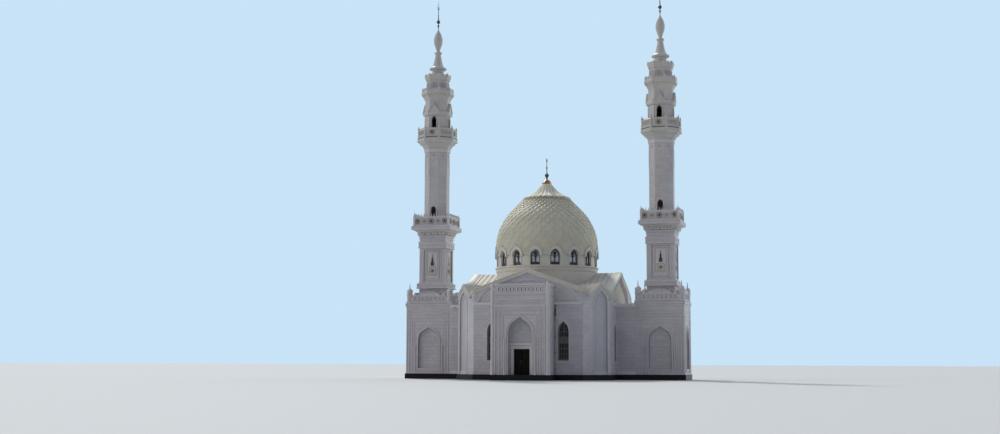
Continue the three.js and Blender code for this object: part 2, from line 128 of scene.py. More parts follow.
def keel_arch(half, sill, spring, apex, middle=0.0, steps=2):
    """An opening under a keel arch with straight jambs, right foot first."""
    head = rounded([(u * half, spring + v * (apex - spring)) for u, v in KEEL_ARCH], steps)
    return [(u + middle, z) for u, z in both_sides(head + [(half, sill)])]


def rounded(line, steps=4):
    """The same line with a smooth curve through its points."""
    out = []
    for i in range(len(line) - 1):
        p = [Vector(line[max(0, min(len(line) - 1, i + k))]) for k in (-1, 0, 1, 2)]
        for j in range(steps):
            t = j / steps
            q = (2 * p[1] + (p[2] - p[0]) * t + (2 * p[0] - 5 * p[1] + 4 * p[2] - p[3]) * t * t
                 + (3 * p[1] - 3 * p[2] + p[3] - p[0]) * t ** 3) / 2
            out.append(tuple(q))
    return out + [tuple(line[-1])]


def both_sides(half_line):
    """A line given from its middle outwards, completed from right end to left end."""
    return list(reversed(half_line)) + [(-u, z) for u, z in half_line[1:]]


def jambs(half, z0, z1, middle=0.0):
    """A square-headed opening, right foot first."""
    return [(middle + half, z0), (middle + half, z1), (middle - half, z1), (middle - half, z0)]


def loop(line):
    """A line brought back to its first point."""
    return line + line[:1]


def circle(r, z, u, steps):
    return [(u + r * math.cos(2 * math.pi * i / steps), z + r * math.sin(2 * math.pi * i / steps))
            for i in range(steps)]


def diamond(u, z, half, rise):
    return [(u - half, z), (u, z - rise), (u + half, z), (u, z + rise)]


def tooth(u, half, foot, shoulder_half, shoulder, tip):
    """A small upright point on a parapet."""
    return [(u - half, foot), (u + half, foot), (u + shoulder_half, shoulder), (u, tip),
            (u - shoulder_half, shoulder)]


def moved(line, across=0.0, up=0.0, scale=1.0):
    return [(u * scale + across, z + up) for u, z in line]


def spread(count, step):
    """Middles of things in a row, the same distance apart."""
    return [(k - (count - 1) / 2) * step for k in range(count)]


class Piece:
    """Faces gathered in real metres until make() turns them into one object."""

    BAND_EASE = 0.3  # share of a band's height or half width that its eased edge takes
    BELT_EASE = 0.015
    SHARPEST = 0.35  # keeps the mitre of a sharp corner short

    def __init__(self):
        self.points = []
        self.faces = []

    def rings(self, rings, capped=True, closed=False, open_ring=False):
        """Skins rings of as many points; an open ring has no face from its last point to its first."""
        n = len(rings[0])
        base = len(self.points)
        for ring in rings:
            self.points.extend(ring)
        for i in range(len(rings) if closed else len(rings) - 1):
            a, b = base + i * n, base + (i + 1) % len(rings) * n
            for j in range(n - 1 if open_ring else n):
                k = (j + 1) % n
                self.faces.append((a + j, a + k, b + k, b + j))
        if capped and not closed:
            self.faces.append(tuple(range(base, base + n)))
            self.faces.append(tuple(range(base + (len(rings) - 1) * n, base + len(rings) * n)))

    def slab(self, at, outline, near, far):
        """An outline in the wall's plane, raised between two distances."""
        self.rings([[at(u, d, z) for u, z in outline] for d in (near, far)])

    def block(self, at, u0, u1, near, far, z0, z1):
        self.slab(at, [(u0, z0), (u1, z0), (u1, z1), (u0, z1)], near, far)

    def rim(self, at, outer, inner, near, far):
        """A slab between two open outlines of as many points, such as a hood round an opening."""
        n, base = len(outer), len(self.points)
        edges = ((outer, far), (inner, far), (inner, near), (outer, near))
        self.rings([[at(u, d, z) for u, z in edge] for edge, d in edges], closed=True, open_ring=True)
        for end in (0, n - 1):
            self.faces.append(tuple(base + end + n * k for k in range(4)))

    def band(self, at, line, width, near, far, closed=False):
        """Runs a flat band with eased edges along a line in the wall's plane, with mitred corners."""
        w = width / 2
        e = min(self.BAND_EASE * (far - near), self.BAND_EASE * w)
        section = [(-w, near), (-w, far - e), (-w + e, far), (w - e, far), (w, far - e), (w, near)]
        n = len(line)
        rings = []
        for i, (u, z) in enumerate(line):
            before = line[i - 1] if closed or i else None
            after = line[(i + 1) % n] if closed or i < n - 1 else None
            way = []
            for p, q in ((before, (u, z)), ((u, z), after)):
                if p and q:
                    step = Vector((q[0] - p[0], q[1] - p[1]))
                    if step.length > 1e-9:
                        way.append(Vector((-step.y, step.x)).normalized())
            normal = sum(way, Vector((0, 0)))
            normal = normal / max(self.SHARPEST, normal.length * (normal.length / len(way)))
            rings.append([at(u - normal.x * v, d, z - normal.y * v) for v, d in section])
        self.rings(rings, closed=closed)

    def turned(self, profile, segments, x=0.0, y=0.0, phase=0.0, shape=None, closed=False):
        """A profile of (radius, height) turned about an upright axis; a closed one is hollow."""
        rings = []
        for r, z in profile:
            ring = []
            for i in range(segments):
                a = phase + 2 * math.pi * i / segments
                q, h = shape(a, r, z) if shape else (r, z)
                ring.append((x + q * math.cos(a), y + q * math.sin(a), h))
            rings.append(ring)
        self.rings(rings, closed=closed)

    def sided(self, profile, x=0.0, sides=8):
        """A hollow ring with flat sides at the given distances, one facing the front."""
        grow = 1 / math.cos(math.pi / sides)
        self.turned([(a * grow, z) for a, z in profile], sides, x, 0.0, math.pi / sides, closed=True)

    def belts(self, sizes, x):
        """Square bands round a tower, as (inner distance, outer distance, foot, top)."""
        e = self.BELT_EASE
        for inner, outer, z0, z1 in sizes:
            self.sided([(inner, z0), (outer - e, z0), (outer, z0 + e), (outer, z1 - e), (outer - e, z1),
                        (inner, z1)], x, 4)

    def tube(self, points, radius, sides=10):
        points = [Vector(p) for p in points]
        rings = []
        for i, p in enumerate(points):
            way = (points[min(i + 1, len(points) - 1)] - points[max(i - 1, 0)]).normalized()
            across = way.cross(Vector((0, 0, 1)) if abs(way.z) < 0.9 else Vector((1, 0, 0))).normalized()
            up = across.cross(way)
            rings.append([tuple(p + radius * (math.cos(a) * across + math.sin(a) * up))
                          for a in (2 * math.pi * k / sides for k in range(sides))])
        self.rings(rings)

    def ball(self, x, y, z, r):
        half_turn = [math.pi * i / 8 for i in range(9)]
        self.turned([(max(0.002, r * math.sin(a)), z - r * math.cos(a)) for a in half_turn], 10, x, y)


def make(piece, name, material, body="building", crease=35):
    mesh = bpy.data.meshes.new(name)
    points = [(x * REAL, (y - MIDDLE_Y) * REAL, z * REAL) for x, y, z in piece.points]
    mesh.from_pydata(points, [], piece.faces)
    tidy = bmesh.new()
    tidy.from_mesh(mesh)
    bmesh.ops.recalc_face_normals(tidy, faces=tidy.faces)
    tidy.to_mesh(mesh)
    tidy.free()
    mesh.shade_smooth()
    mesh.set_sharp_from_angle(angle=math.radians(crease))
    mesh.materials.append(material)
    made = bpy.data.objects.new(name, mesh)
    bpy.context.scene.collection.objects.link(made)
    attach(made, body)
    return made


# Materials.
WHITE = (1, 1, 1)


class Nodes:
    """The nodes of one shader tree, added by kind and joined by what they are given."""

    def __init__(self, tree):
        self.tree = tree

    def add(self, kind, inputs=None, **settings):
        node = self.tree.nodes.new("ShaderNode" + kind)
        for key, value in settings.items():
            setattr(node, key, value)
        for key, value in (inputs or {}).items():
            if isinstance(value, bpy.types.NodeSocket):
                self.tree.links.new(value, node.inputs[key])
            else:
                node.inputs[key].default_value = value
        return node

    def math(self, operation, a, b=0.0):
        return self.add("Math", {0: a, 1: b}, operation=operation).outputs[0]

    def vector(self, operation, a, b, output=0):
        return self.add("VectorMath", {0: a, 1: b}, operation=operation).outputs[output]

    def mix(self, blend, factor, a, b):
        return self.add("Mix", {0: factor, 6: a, 7: b}, data_type="RGBA", blend_type=blend).outputs[2]


class Look(Nodes):
    """A procedural material."""

    def __init__(self, name, **uniform):
        self.material = bpy.data.materials.new(name)
        self.material.use_nodes = True
        super().__init__(self.material.node_tree)
        self.shader = self.tree.nodes["Principled BSDF"]
        for socket, value in uniform.items():
            self.shader.inputs[socket.replace("_", " ")].default_value = value

    def place(self):
        return self.add("TexCoord").outputs["Object"]

    def noise(self, scale, detail, place=None, roughness=0.55):
        return self.add("TexNoise", {"Vector": place or self.place(), "Scale": scale, "Detail": detail,
                                     "Roughness": roughness}).outputs["Fac"]

    def ramp(self, value, *stops):
        node = self.add("ValToRGB", {"Fac": value})
        while len(node.color_ramp.elements) < len(stops):
            node.color_ramp.elements.new(0.5)
        for element, (at, colour) in zip(node.color_ramp.elements, stops):
            element.position = at
            element.color = (*colour, 1)
        return node.outputs["Color"]

    def tinted(self, strength, base, value, *stops):
        """The base colour multiplied by a faint ramp."""
        return self.mix("MULTIPLY", strength, base, self.ramp(value, *stops))

    def bump(self, height, distance, strength, under=None):
        inputs = {"Height": height, "Distance": distance, "Strength": strength}
        if under:
            inputs["Normal"] = under
        return self.add("Bump", inputs).outputs[0]

    def finish(self, base, rough, low, high, relief):
        """Sets colour, roughness between two values and relief; gives the material."""
        span = self.add("MapRange", {"Value": rough, "To Min": low, "To Max": high}).outputs[0]
        for socket, value in (("Base Color", base), ("Roughness", span), ("Normal", relief)):
            self.tree.links.new(value, self.shader.inputs[socket])
        return self.material

    def wall_plane(self):
        """Distance along the wall and height, or the plan position on level faces."""
        place = self.place()
        normal = self.add("NewGeometry").outputs["Normal"]
        along_wall = self.vector("CROSS_PRODUCT", normal, (0, 0, 1))
        u = self.vector("DOT_PRODUCT", place, along_wall, "Value")
        height = self.add("SeparateXYZ", {0: place}).outputs[2]
        upward = self.math("ABSOLUTE", self.add("SeparateXYZ", {0: normal}).outputs[2])
        level = self.math("GREATER_THAN", upward, 0.7)
        wall = self.add("CombineXYZ", {0: u, 1: height}).outputs[0]
        return self.add("Mix", {0: level, 4: wall, 5: place}, data_type="VECTOR").outputs[1]

    def slabs(self, base, width, height, second, mortar, smooth, depth, strength):
        """Courses of slabs over the base colour, with sunk joints."""
        brick = self.add("TexBrick", {
            "Vector": self.wall_plane(), "Scale": 1.0, "Mortar Size": 0.004, "Mortar Smooth": smooth,
            "Brick Width": width, "Row Height": height, "Color1": (1, 1, 1, 1), "Color2": (*second, 1),
            "Mortar": (*mortar, 1),
        })
        relief = self.bump(self.math("SUBTRACT", 1.0, brick.outputs["Fac"]), depth, strength)
        return self.mix("MULTIPLY", 1.0, base, brick.outputs["Color"]), relief


def stone(name, light, dark, course=0.0):
    """Honed stone with faint clouds and veins, in courses of slabs where a course height is given."""
    look = Look(name, Specular_IOR_Level=0.45)
    base = look.ramp(look.noise(0.55, 4), (0.3, dark), (0.7, light))
    veins = look.noise(1.7, 6, roughness=0.68)
    base = look.tinted(0.5, base, veins, (0.47, WHITE), (0.5, (0.86, 0.86, 0.88)), (0.53, WHITE))
    grain = look.noise(38, 2)
    base = look.tinted(0.25, base, grain, (0.3, (0.88, 0.88, 0.88)), (0.7, WHITE))
    if course:
        base, joints = look.slabs(base, course * 2.1, course, (0.9, 0.9, 0.91), (0.62, 0.61, 0.62),
                                  0.25, 0.006, 0.8)
        relief = look.bump(grain, 0.002, 0.25, joints)
    else:
        relief = look.bump(grain, 0.002, 0.3)
    return look.finish(base, grain, 0.35, 0.6, relief)


def granite():
    look = Look("black_granite", Specular_IOR_Level=0.25)
    fleck = look.add("TexVoronoi", {"Vector": look.place(), "Scale": 42.0}).outputs["Distance"]
    base = look.ramp(fleck, (0.05, (0.035, 0.033, 0.036)), (0.25, (0.012, 0.011, 0.012)),
                     (1, (0.007, 0.006, 0.007)))
    base, joints = look.slabs(base, 0.6, 0.15, (0.75, 0.75, 0.78), (0.3, 0.3, 0.3), 0.1, 0.004, 0.7)
    return look.finish(base, look.noise(3, 3), 0.32, 0.5, joints)


def roof_metal():
    look = Look("cream_roof_metal", Specular_IOR_Level=0.3)
    tone = look.noise(1.1, 4)
    streak = look.noise(9, 3, look.vector("MULTIPLY", look.place(), (1, 1, 0.15)))
    base = look.ramp(tone, (0.3, (0.59, 0.55, 0.495)), (0.7, (0.7, 0.66, 0.6)))
    base = look.tinted(0.4, base, streak, (0.35, (0.82, 0.81, 0.78)), (0.6, WHITE))
    return look.finish(base, tone, 0.6, 0.75, look.bump(look.noise(5, 2), 0.004, 0.35))


def dome_tile():
    """Glazed beige scales; each one a little different."""
    look = Look("beige_dome_tile", Specular_IOR_Level=0.2)
    each = look.add("NewGeometry").outputs["Random Per Island"]
    base = look.ramp(each, (0, (0.55, 0.53, 0.43)), (0.5, (0.58, 0.56, 0.46)), (1, (0.61, 0.59, 0.49)))
    base = look.tinted(0.5, base, look.noise(1.3, 4), (0.3, (0.84, 0.83, 0.8)), (0.65, WHITE))
    return look.finish(base, look.noise(14, 2), 0.55, 0.7, look.bump(look.noise(20, 2), 0.003, 0.3))


def metal(name, light, dark, rough=(0.22, 0.42)):
    look = Look(name, Metallic=0.9)
    base = look.ramp(look.noise(6, 4), (0.32, dark), (0.68, light))
    return look.finish(base, look.noise(25, 2), *rough, look.bump(look.noise(30, 2), 0.001, 0.3))


def glass(name, dark, light):
    look = Look(name, Specular_IOR_Level=0.5)
    wave = look.noise(2.2, 2)
    base = look.ramp(wave, (0.3, dark), (0.7, light))
    return look.finish(base, wave, 0.04, 0.1, look.bump(wave, 0.01, 0.08))


def painted(name, light, dark, rough=(0.35, 0.55), gloss=0.5):
    look = Look(name, Specular_IOR_Level=gloss)
    tone = look.noise(4, 4)
    base = look.ramp(tone, (0.3, dark), (0.7, light))
    return look.finish(base, tone, *rough, look.bump(look.noise(60, 2), 0.0006, 0.3))


def wood():
    look = Look("dark_door_wood", Specular_IOR_Level=0.12)
    grain = look.noise(2.5, 6, look.vector("MULTIPLY", look.place(), (9, 9, 0.8)), 0.6)
    base = look.ramp(grain, (0.35, (0.005, 0.004, 0.003)), (0.65, (0.014, 0.011, 0.009)))
    return look.finish(base, grain, 0.45, 0.65, look.bump(grain, 0.0015, 0.4))


MARBLE = stone("marble_cladding", (0.635, 0.615, 0.64), (0.555, 0.535, 0.565), 0.21)
CARVED = stone("carved_marble", (0.65, 0.63, 0.65), (0.58, 0.56, 0.585))
CREAM = stone("cream_edge_stone", (0.66, 0.64, 0.56), (0.58, 0.56, 0.48))
SHAFT_MARBLE = stone("shaft_marble", (0.59, 0.57, 0.57), (0.52, 0.5, 0.5), 0.21)
UPPER_MARBLE = stone("upper_minaret_marble", (0.57, 0.55, 0.53), (0.5, 0.48, 0.46))
# Painted shade: a darker, bluer field for the recess of the corner niches.
FACET_FIELD = stone("facet_field_painted_shade", (0.53, 0.525, 0.56), (0.47, 0.465, 0.5))
# Painted light: the side gables' fields are beige to stand in for warm light bounced onto them.
SIDE_FIELD = stone("side_field_painted_warm_light", (0.53, 0.48, 0.38), (0.48, 0.43, 0.34), 0.21)
# Painted highlight: the ledges, bands and copings are made lighter than the walls, as if lit.
BRIGHT = stone("band_marble_painted_highlight", (0.78, 0.775, 0.78), (0.7, 0.695, 0.71))
GRANITE = granite()
ROOF = roof_metal()
SEAM = painted("roof_seam_metal", (0.48, 0.43, 0.4), (0.4, 0.36, 0.33), (0.6, 0.75), 0.2)
DOME_TILE = dome_tile()
CAP_TILE = painted("cream_cap_tile", (0.72, 0.7, 0.58), (0.63, 0.61, 0.49), (0.6, 0.75), 0.15)
DOME_SHADE = painted("shaded_cap_rim", (0.34, 0.31, 0.23), (0.27, 0.25, 0.18))
DRUM_STONE = stone("drum_stone", (0.66, 0.64, 0.58), (0.59, 0.57, 0.51))
DOME_PLAIN = painted("beige_dome_edge", (0.6, 0.58, 0.49), (0.5, 0.48, 0.39))
COPPER = metal("aged_copper", (0.5, 0.29, 0.16), (0.28, 0.17, 0.1))
BRONZE = metal("dark_bronze", (0.15, 0.14, 0.12), (0.08, 0.075, 0.07), (0.3, 0.5))
DARK_METAL = painted("dark_fitting_metal", (0.05, 0.05, 0.055), (0.025, 0.025, 0.03))
PIPE = painted("grey_downpipe", (0.42, 0.41, 0.45), (0.34, 0.33, 0.37))
BARS = painted("grey_window_bars", (0.17, 0.18, 0.17), (0.13, 0.14, 0.132))
GLASS = glass("dark_glass", (0.012, 0.016, 0.015), (0.03, 0.037, 0.035))
# Painted light: pale panes stand in for the sky seen through and reflected in the drum windows.
SKY_GLASS = glass("glass_painted_sky_light", (0.5, 0.56, 0.66), (0.84, 0.87, 0.92))
DOOR = wood()
ORNAMENT = stone("ochre_inlay", (0.5, 0.46, 0.34), (0.4, 0.36, 0.25))
NICHE_SHADE = stone("shaded_niche_stone", (0.3, 0.29, 0.32), (0.22, 0.21, 0.24))
# Painted shade: darker stone for the backs of the minarets' small niches and niche heads.
SOFT_SHADE = stone("soft_painted_niche_shade", (0.44, 0.42, 0.44), (0.38, 0.36, 0.38))
# Dark inlay for rosettes and dots, and painted shade in the shaft slits and under the upper balcony's
# parapet.
DARK_INLAY_AND_SHADE = stone("dark_inlay_and_painted_shade", (0.09, 0.085, 0.08), (0.05, 0.047, 0.045))
# Painted shade: a near-black lining behind the balcony doors stands in for the unlit stair inside.
STAIR_SHADE = painted("painted_stair_shade", (0.05, 0.045, 0.045), (0.03, 0.028, 0.028), (0.7, 0.9))
PALE_FLOOR = painted("pale_floor", (0.5, 0.5, 0.5), (0.48, 0.48, 0.48), (0.75, 0.85))

# Solids that aren't marble, by a part of their names.
NODE_LOOKS = {
    "plinth": GRANITE, "_glass": GLASS, "roof_": ROOF, "door_leaf": DOOR, "octagon_shaft": SHAFT_MARBLE,
    "upper_balcony": UPPER_MARBLE,
}
for name, node in nodes.items():
    node.data.materials.clear()
    node.data.materials.append(next((look for part, look in NODE_LOOKS.items() if part in name), MARBLE))

# Dome: overlapping diamond scales in rows that narrow towards the cap.
COLUMNS = 36
ROW_SHARE = 0.58  # height of a row for the width of a scale
TIP_LIFT = 0.15
MIDDLE_LIFT = 0.085
EDGE_LIFT = 0.01
FULL_ROW = 13  # from this row up the scales stand out fully
BAYS = 16
BAY = 2 * math.pi * DRUM_R / BAYS
DRUM_BAYS = [around(360 / BAYS * bay, DRUM_R) for bay in range(BAYS)]
DRUM_WINDOW = dict(half=0.55, sill=13.05, spring=14.15, apex=14.88)

line = rounded(DOME, 12)
DOME_LINE = [(0.0, *line[0])]  # (length from the foot, radius, height)
for point in line[1:]:
    length, *last = DOME_LINE[-1]
    DOME_LINE.append((length + math.dist(last, point), *point))


def up_dome(length):
    """Radius, height and outward direction at a length up the dome."""
    for (s0, r0, z0), (s1, r1, z1) in zip(DOME_LINE, DOME_LINE[1:]):
        if s1 >= length or s1 == DOME_LINE[-1][0]:
            t = (length - s0) / (s1 - s0)
            run = Vector((r1 - r0, z1 - z0)).normalized()
            return r0 + t * (r1 - r0), z0 + t * (z1 - z0), Vector((run.y, -run.x))


def hood_half_width(z, half=0.68, spring=14.2, apex=15.08):
    """Half the width of a drum window's hood at a height."""
    if z <= spring or z >= apex:
        return half if z <= spring else 0.0
    inset = arch_inset(half, apex - spring)
    return math.sqrt((half + inset) ** 2 - (z - spring) ** 2) - inset


def beside_windows(a, z):
    """The angle, moved out of the drum windows where it falls inside one."""
    bay = 2 * math.pi / BAYS
    nearest = round((a + math.pi / 2) / bay) * bay - math.pi / 2
    limit = hood_half_width(z) / DOME[0][0]
    return a if abs(a - nearest) >= limit else nearest + math.copysign(limit, a - nearest)


def on_dome(row, column, lift):
    r, z, normal = up_dome(rows[row])
    a = beside_windows(2 * math.pi * column / COLUMNS, z)
    q = r + normal.x * lift
    return q * math.cos(a), q * math.sin(a), z + normal.y * lift


# Rows of scales as lengths up the dome; each row's height follows the width of its scales.
rows = [-0.1]
while rows[-1] < DOME_LINE[-1][0] - 0.02:
    rows.append(rows[-1] + ROW_SHARE * 2 * math.pi * up_dome(max(0.0, rows[-1]))[0] / COLUMNS)
rows.append(rows[-1] + 0.15)

scales = Piece()
for row in range(1, len(rows) - 1):
    for column in range(COLUMNS):
        c = column + 0.5 * (row % 2)
        a = 2 * math.pi * c / COLUMNS
        if beside_windows(a, up_dome(rows[row])[1]) != a:
            continue
        tilt = rng.uniform(-0.003, 0.003)
        strength = 0.15 + 0.85 * min(1.0, row / FULL_ROW) ** 1.5
        base = len(scales.points)
        scales.points += [
            on_dome(row + 1, c, 0.005), on_dome(row, c - 0.5, EDGE_LIFT + tilt),
            on_dome(row - 1, c, TIP_LIFT * strength + tilt), on_dome(row, c + 0.5, EDGE_LIFT + tilt),
            on_dome(row, c, MIDDLE_LIFT * strength), on_dome(row, c - 0.5, -0.02),
            on_dome(row - 1, c, -0.01), on_dome(row, c + 0.5, -0.02),
        ]
        for face in ((0, 1, 4), (1, 2, 4), (2, 3, 4), (3, 0, 4), (1, 5, 6, 2), (2, 6, 7, 3)):
            scales.faces.append(tuple(base + i for i in face))
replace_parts(make(scales, "dome_scales", DOME_TILE, crease=8), "dome_shell")


def panel_loops(inner, half, spring, top, foot=None):
    """The edge of a panel with as many points as the opening in it, a loop half way, and the opening."""
    shoulder = 0.62  # the part of the opening's half width that goes to the panel's top edge
    widest = max(u for u, _ in inner)
    outer = []
    for u, z in inner:
        share = abs(u) / widest
        if z <= spring:
            outer.append((math.copysign(half, u), foot if foot and z == inner[0][1] else z))
        elif share > shoulder:
            outer.append((math.copysign(half, u), spring + (top - spring) * (1 - share) / (1 - shoulder)))
        else:
            outer.append((math.copysign(half * share / shoulder, u), top))
    return outer, [((a[0] + b[0]) / 2, (a[1] + b[1]) / 2) for a, b in zip(inner, outer)], inner


skin = Piece()
outside = moved(rounded(DOME[2:], 4), -0.02)
inside = moved(reversed(rounded(DOME[2:], 1)), -0.3, -0.05)
skin.turned(outside + inside, ROUND, closed=True)
for at in DRUM_BAYS:
    loops = panel_loops(opening(0.68, 14.42, 14.44, 15.08), BAY / 2, 14.43, 15.22)
    skin.rings([[at(u, 6.02, z) for u, z in edge] for edge in loops], capped=False, open_ring=True)
make(skin, "dome_skin", DOME_PLAIN)

# Dome cap: fluted, with a scalloped rim.
FLUTES = 24
CAP = [(2.3, 21.24), (2.76, 21.26), (2.8, 21.34), (2.72, 21.44), (2.34, 21.62), (1.86, 21.86),
       (1.42, 22.16), (1.04, 22.54), (0.72, 22.9), (0.55, 23.08)]


def fluted(a, r, z):
    wave = abs(math.sin(a * FLUTES / 2))
    deep = 0.1 * min(1.0, max(0.0, 23.3 - z))
    drop = 0.07 * (1 - wave) if z < 21.5 else 0.0
    return r - deep * r * (1 - wave) ** 1.5, z + drop


cap = Piece()
cap.turned([CAP[0], *rounded(CAP[1:], 3)], FLUTES * 8, shape=fluted)
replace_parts(make(cap, "dome_cap_fluted", CAP_TILE, crease=50), "dome_cap")
rim = Piece()
rim.turned([(2.6, 20.98), (2.92, 20.96), (2.96, 21.04), (2.88, 21.24), (2.6, 21.26)], ROUND, closed=True)
make(rim, "dome_cap_rim", DOME_SHADE)

COLLAR = [(0.5, 23.02), (0.55, 23.08), (0.55, 23.26), (0.5, 23.32), (0.42, 23.4), (0.44, 23.46),
          (0.3, 23.56), (0.15, 23.63), (0.12, 23.8)]
STEM = [(0.12, 23.8), (0.14, 23.95), (0.22, 24.06), (0.25, 24.16), (0.21, 24.28), (0.13, 24.38),
        (0.06, 24.48), (0.05, 24.95), (0.09, 25.0), (0.11, 25.06), (0.09, 25.12), (0.05, 25.18),
        (0.03, 25.73)]


def crescent(piece, at, z, outer):
    """A flat crescent open at the top."""
    steps = 24
    hole, lift = outer * 0.72, outer * 0.42
    meet = (outer ** 2 - hole ** 2 + lift ** 2) / (2 * lift)
    first = math.asin(meet / outer)
    inner_first = math.asin((meet - lift) / hole)
    rims = []
    for i in range(steps + 1):
        a = first - (math.pi + 2 * first) * i / steps
        b = inner_first - (math.pi + 2 * inner_first) * i / steps
        rims.append(((outer * math.cos(a), z + outer * math.sin(a)),
                     (hole * math.cos(b), z + lift + hole * math.sin(b))))
    for (out0, in0), (out1, in1) in zip(rims, rims[1:]):
        piece.slab(at, [out0, out1, in1, in0], -0.025, 0.025)


finial = Piece()
finial.turned(rounded(STEM, 3), 32)
crescent(finial, side(90), 25.98, 0.27)
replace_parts(make(finial, "dome_finial_stem", BRONZE), "dome_finial")
collar = Piece()
collar.turned(rounded(COLLAR, 3), 32)
make(collar, "dome_finial_collar", COPPER)

# Drum: smooth wall with sixteen pointed windows under hoods that rise into the dome.
STRING = [(5.86, 14.28), (5.98, 14.3), (6.06, 14.35), (6.09, 14.4), (6.07, 14.46), (5.86, 14.5)]
BRANCHES = (((0, 13.78), (0.1, 14.02), (0.26, 14.16), (0.46, 14.2)),
            ((0, 13.98), (0.06, 14.2), (0.2, 14.4), (0.42, 14.46)),
            ((0, 14.1), (0.05, 14.4), (0.12, 14.55), (0.26, 14.68)))
drum, bars, panes, hoods = (Piece() for _ in range(4))
drum.turned([(5.4, 10.2), (5.9, 10.2), (5.9, 12.36), (5.96, 12.42), (6.0, 12.5), (6.0, 12.82),
             (6.1, 12.86), (6.14, 12.92), (6.13, 13.0), (6.0, 13.05), (5.4, 13.05)], ROUND, closed=True)
drum.turned([(5.4, 14.98), (5.9, 14.98), (5.9, 15.2), (5.4, 15.2)], ROUND, closed=True)
for at in DRUM_BAYS:
    inner = opening(**DRUM_WINDOW)
    loops = panel_loops(inner, BAY / 2, DRUM_WINDOW["spring"], 14.98)
    drum.rings([[at(u, DRUM_R, z) for u, z in edge] for edge in loops]
               + [[at(u, 5.45, z) for u, z in inner]], capped=False, open_ring=True)
    drum.block(at, -0.62, 0.62, 5.4, 6.04, 12.96, 13.07)
    hoods.rings([[at(0.8 + (BAY - 1.6) * k / 4, d, z) for d, z in STRING] for k in range(5)])
    hoods.rim(at, opening(0.84, 14.1, 14.3, 15.33), opening(0.56, 14.1, 14.15, 14.9), 5.8, 6.1)
    hoods.band(at, opening(0.82, 14.12, 14.3, 15.31), 0.07, 6.08, 6.15)
    hoods.slab(at, tooth(0, 0.06, 15.24, 0.03, 15.4, 15.5), 6.02, 6.16)
    hoods.band(at, opening(0.62, 13.08, 14.15, 14.98), 0.07, 5.88, 5.95)
    bars.band(at, loop(opening(0.5, 13.12, 14.15, 14.8)), 0.1, 5.6, 5.72)
    bars.block(at, -0.55, 0.55, 5.58, 5.73, 13.06, 13.4)
    bars.band(at, [(0, 13.2), (0, 14.0)], 0.1, 5.6, 5.7)
    for hand in HANDS:
        for branch in BRANCHES:
            bars.band(at, moved(branch, scale=hand), 0.055, 5.6, 5.69)
    bars.band(at, circle(0.13, 14.42, 0, 14), 0.04, 5.6, 5.7, closed=True)
    bars.band(at, [(0, 13.9), (0, 14.8)], 0.045, 5.6, 5.69)
    # Painted light: the panes are as pale as lit sky.
    panes.slab(at, opening(0.56, 13.04, 14.15, 14.9, steps=6), 5.56, 5.6)
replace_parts(make(drum, "drum_wall", DRUM_STONE), "drum")
make(hoods, "drum_hoods", DRUM_STONE)
make(bars, "drum_window_bars", DARK_METAL)
make(panes, "drum_panes", SKY_GLASS)


# Roof seams, laid on the roof surfaces of the solids.
points, faces = [], []
for name, node in nodes.items():
    if name.startswith(("roof_", "corner_wall", "side_wall", "back_wall", "front_gable")):
        base = len(points)
        points += [v.co.copy() for v in node.data.vertices]
        faces += [[base + i for i in p.vertices] for p in node.data.polygons]
TOPS = BVHTree.FromPolygons(points, faces)
SEAM_STEP = 0.62
SEAM_REACH = 7.4
SEAM_POINTS = 60
LOWEST_SEAM = 8.6
STEP_BETWEEN_ARMS = 0.45  # a jump of the roof by more than this ends a seam


def roof_height(x, y):
    hit = TOPS.ray_cast(Vector((x * REAL, (y - MIDDLE_Y) * REAL, 9)), Vector((0, 0, -1)))
    return hit[0].z / REAL if hit[0] else None


def seam_line(at, d, across, limit):
    """Points of one seam from the ridge down to the wall, as far as they lie on this roof arm."""
    run = []
    for i in range(SEAM_POINTS + 1):
        u = SEAM_REACH * across * i / SEAM_POINTS
        x, y, _ = at(u, d, 0)
        z = roof_height(x, y)
        if math.hypot(x, y) < DRUM_R + 0.05 or u > max(limit, 0) * 1.02 or z is None or z < LOWEST_SEAM:
            continue
        if run and abs(z - run[-1][2]) > STEP_BETWEEN_ARMS:
            break
        run.append((x, y, z + 0.02))
    return run


seams = Piece()
for turn, (end, scale) in ENDS.items():
    beside = SIDE_SCALE if end == FRONT else 1 / SIDE_SCALE
    for k in range(12):
        d = end - 0.45 - SEAM_STEP * k
        for hand in HANDS:
            run = seam_line(side(turn, flip=hand), d, scale, d * beside)
            if len(run) > 2:
                seams.tube(run[::2] + ([run[-1]] if len(run) % 2 == 0 else []), 0.035, 6)
make(seams, "roof_seams", SEAM)


# Edge bands along the tops of the walls, fields in the gables, ledges and corner niches.
def height_on(points, u):
    """Height of a half outline at a distance from its middle."""
    u = abs(u)
    for (a, za), (b, zb) in zip(points, points[1:]):
        if a <= u <= b:
            return za + (zb - za) * (u - a) / (b - a)
    return -1.0


SMOOTH_KEEL = rounded(KEEL)
SMOOTH_DORMER = rounded(DORMER)


def facet_top(at, u):
    """Height of the corner wall's top: the highest of both vaults and its own arched head."""
    x, y, _ = at(u, 0, 0)
    return max(height_on(SMOOTH_KEEL, x), height_on(SMOOTH_KEEL, y / SIDE_SCALE),
               height_on(SMOOTH_DORMER, u - DORMER_AT))


GABLE_EDGE = dict(deep=0.4, back=0.35, proud=0.13, lap=0.05)
CORNER_EDGE = dict(deep=0.26, back=0.3, proud=0.12, lap=0.03)


def wall_edge(at, line, deep, back, proud, lap):
    """The cream edge band under a wall's top, its coping and the metal verge behind it."""
    edges.band(at, moved(line, up=-deep / 2), deep, -0.05, 0.07)
    edges.band(at, moved(line, up=0.02), 0.12, -back, proud)
    verges.band(at, moved(line, up=0.035), 0.05, -0.66, lap - back)


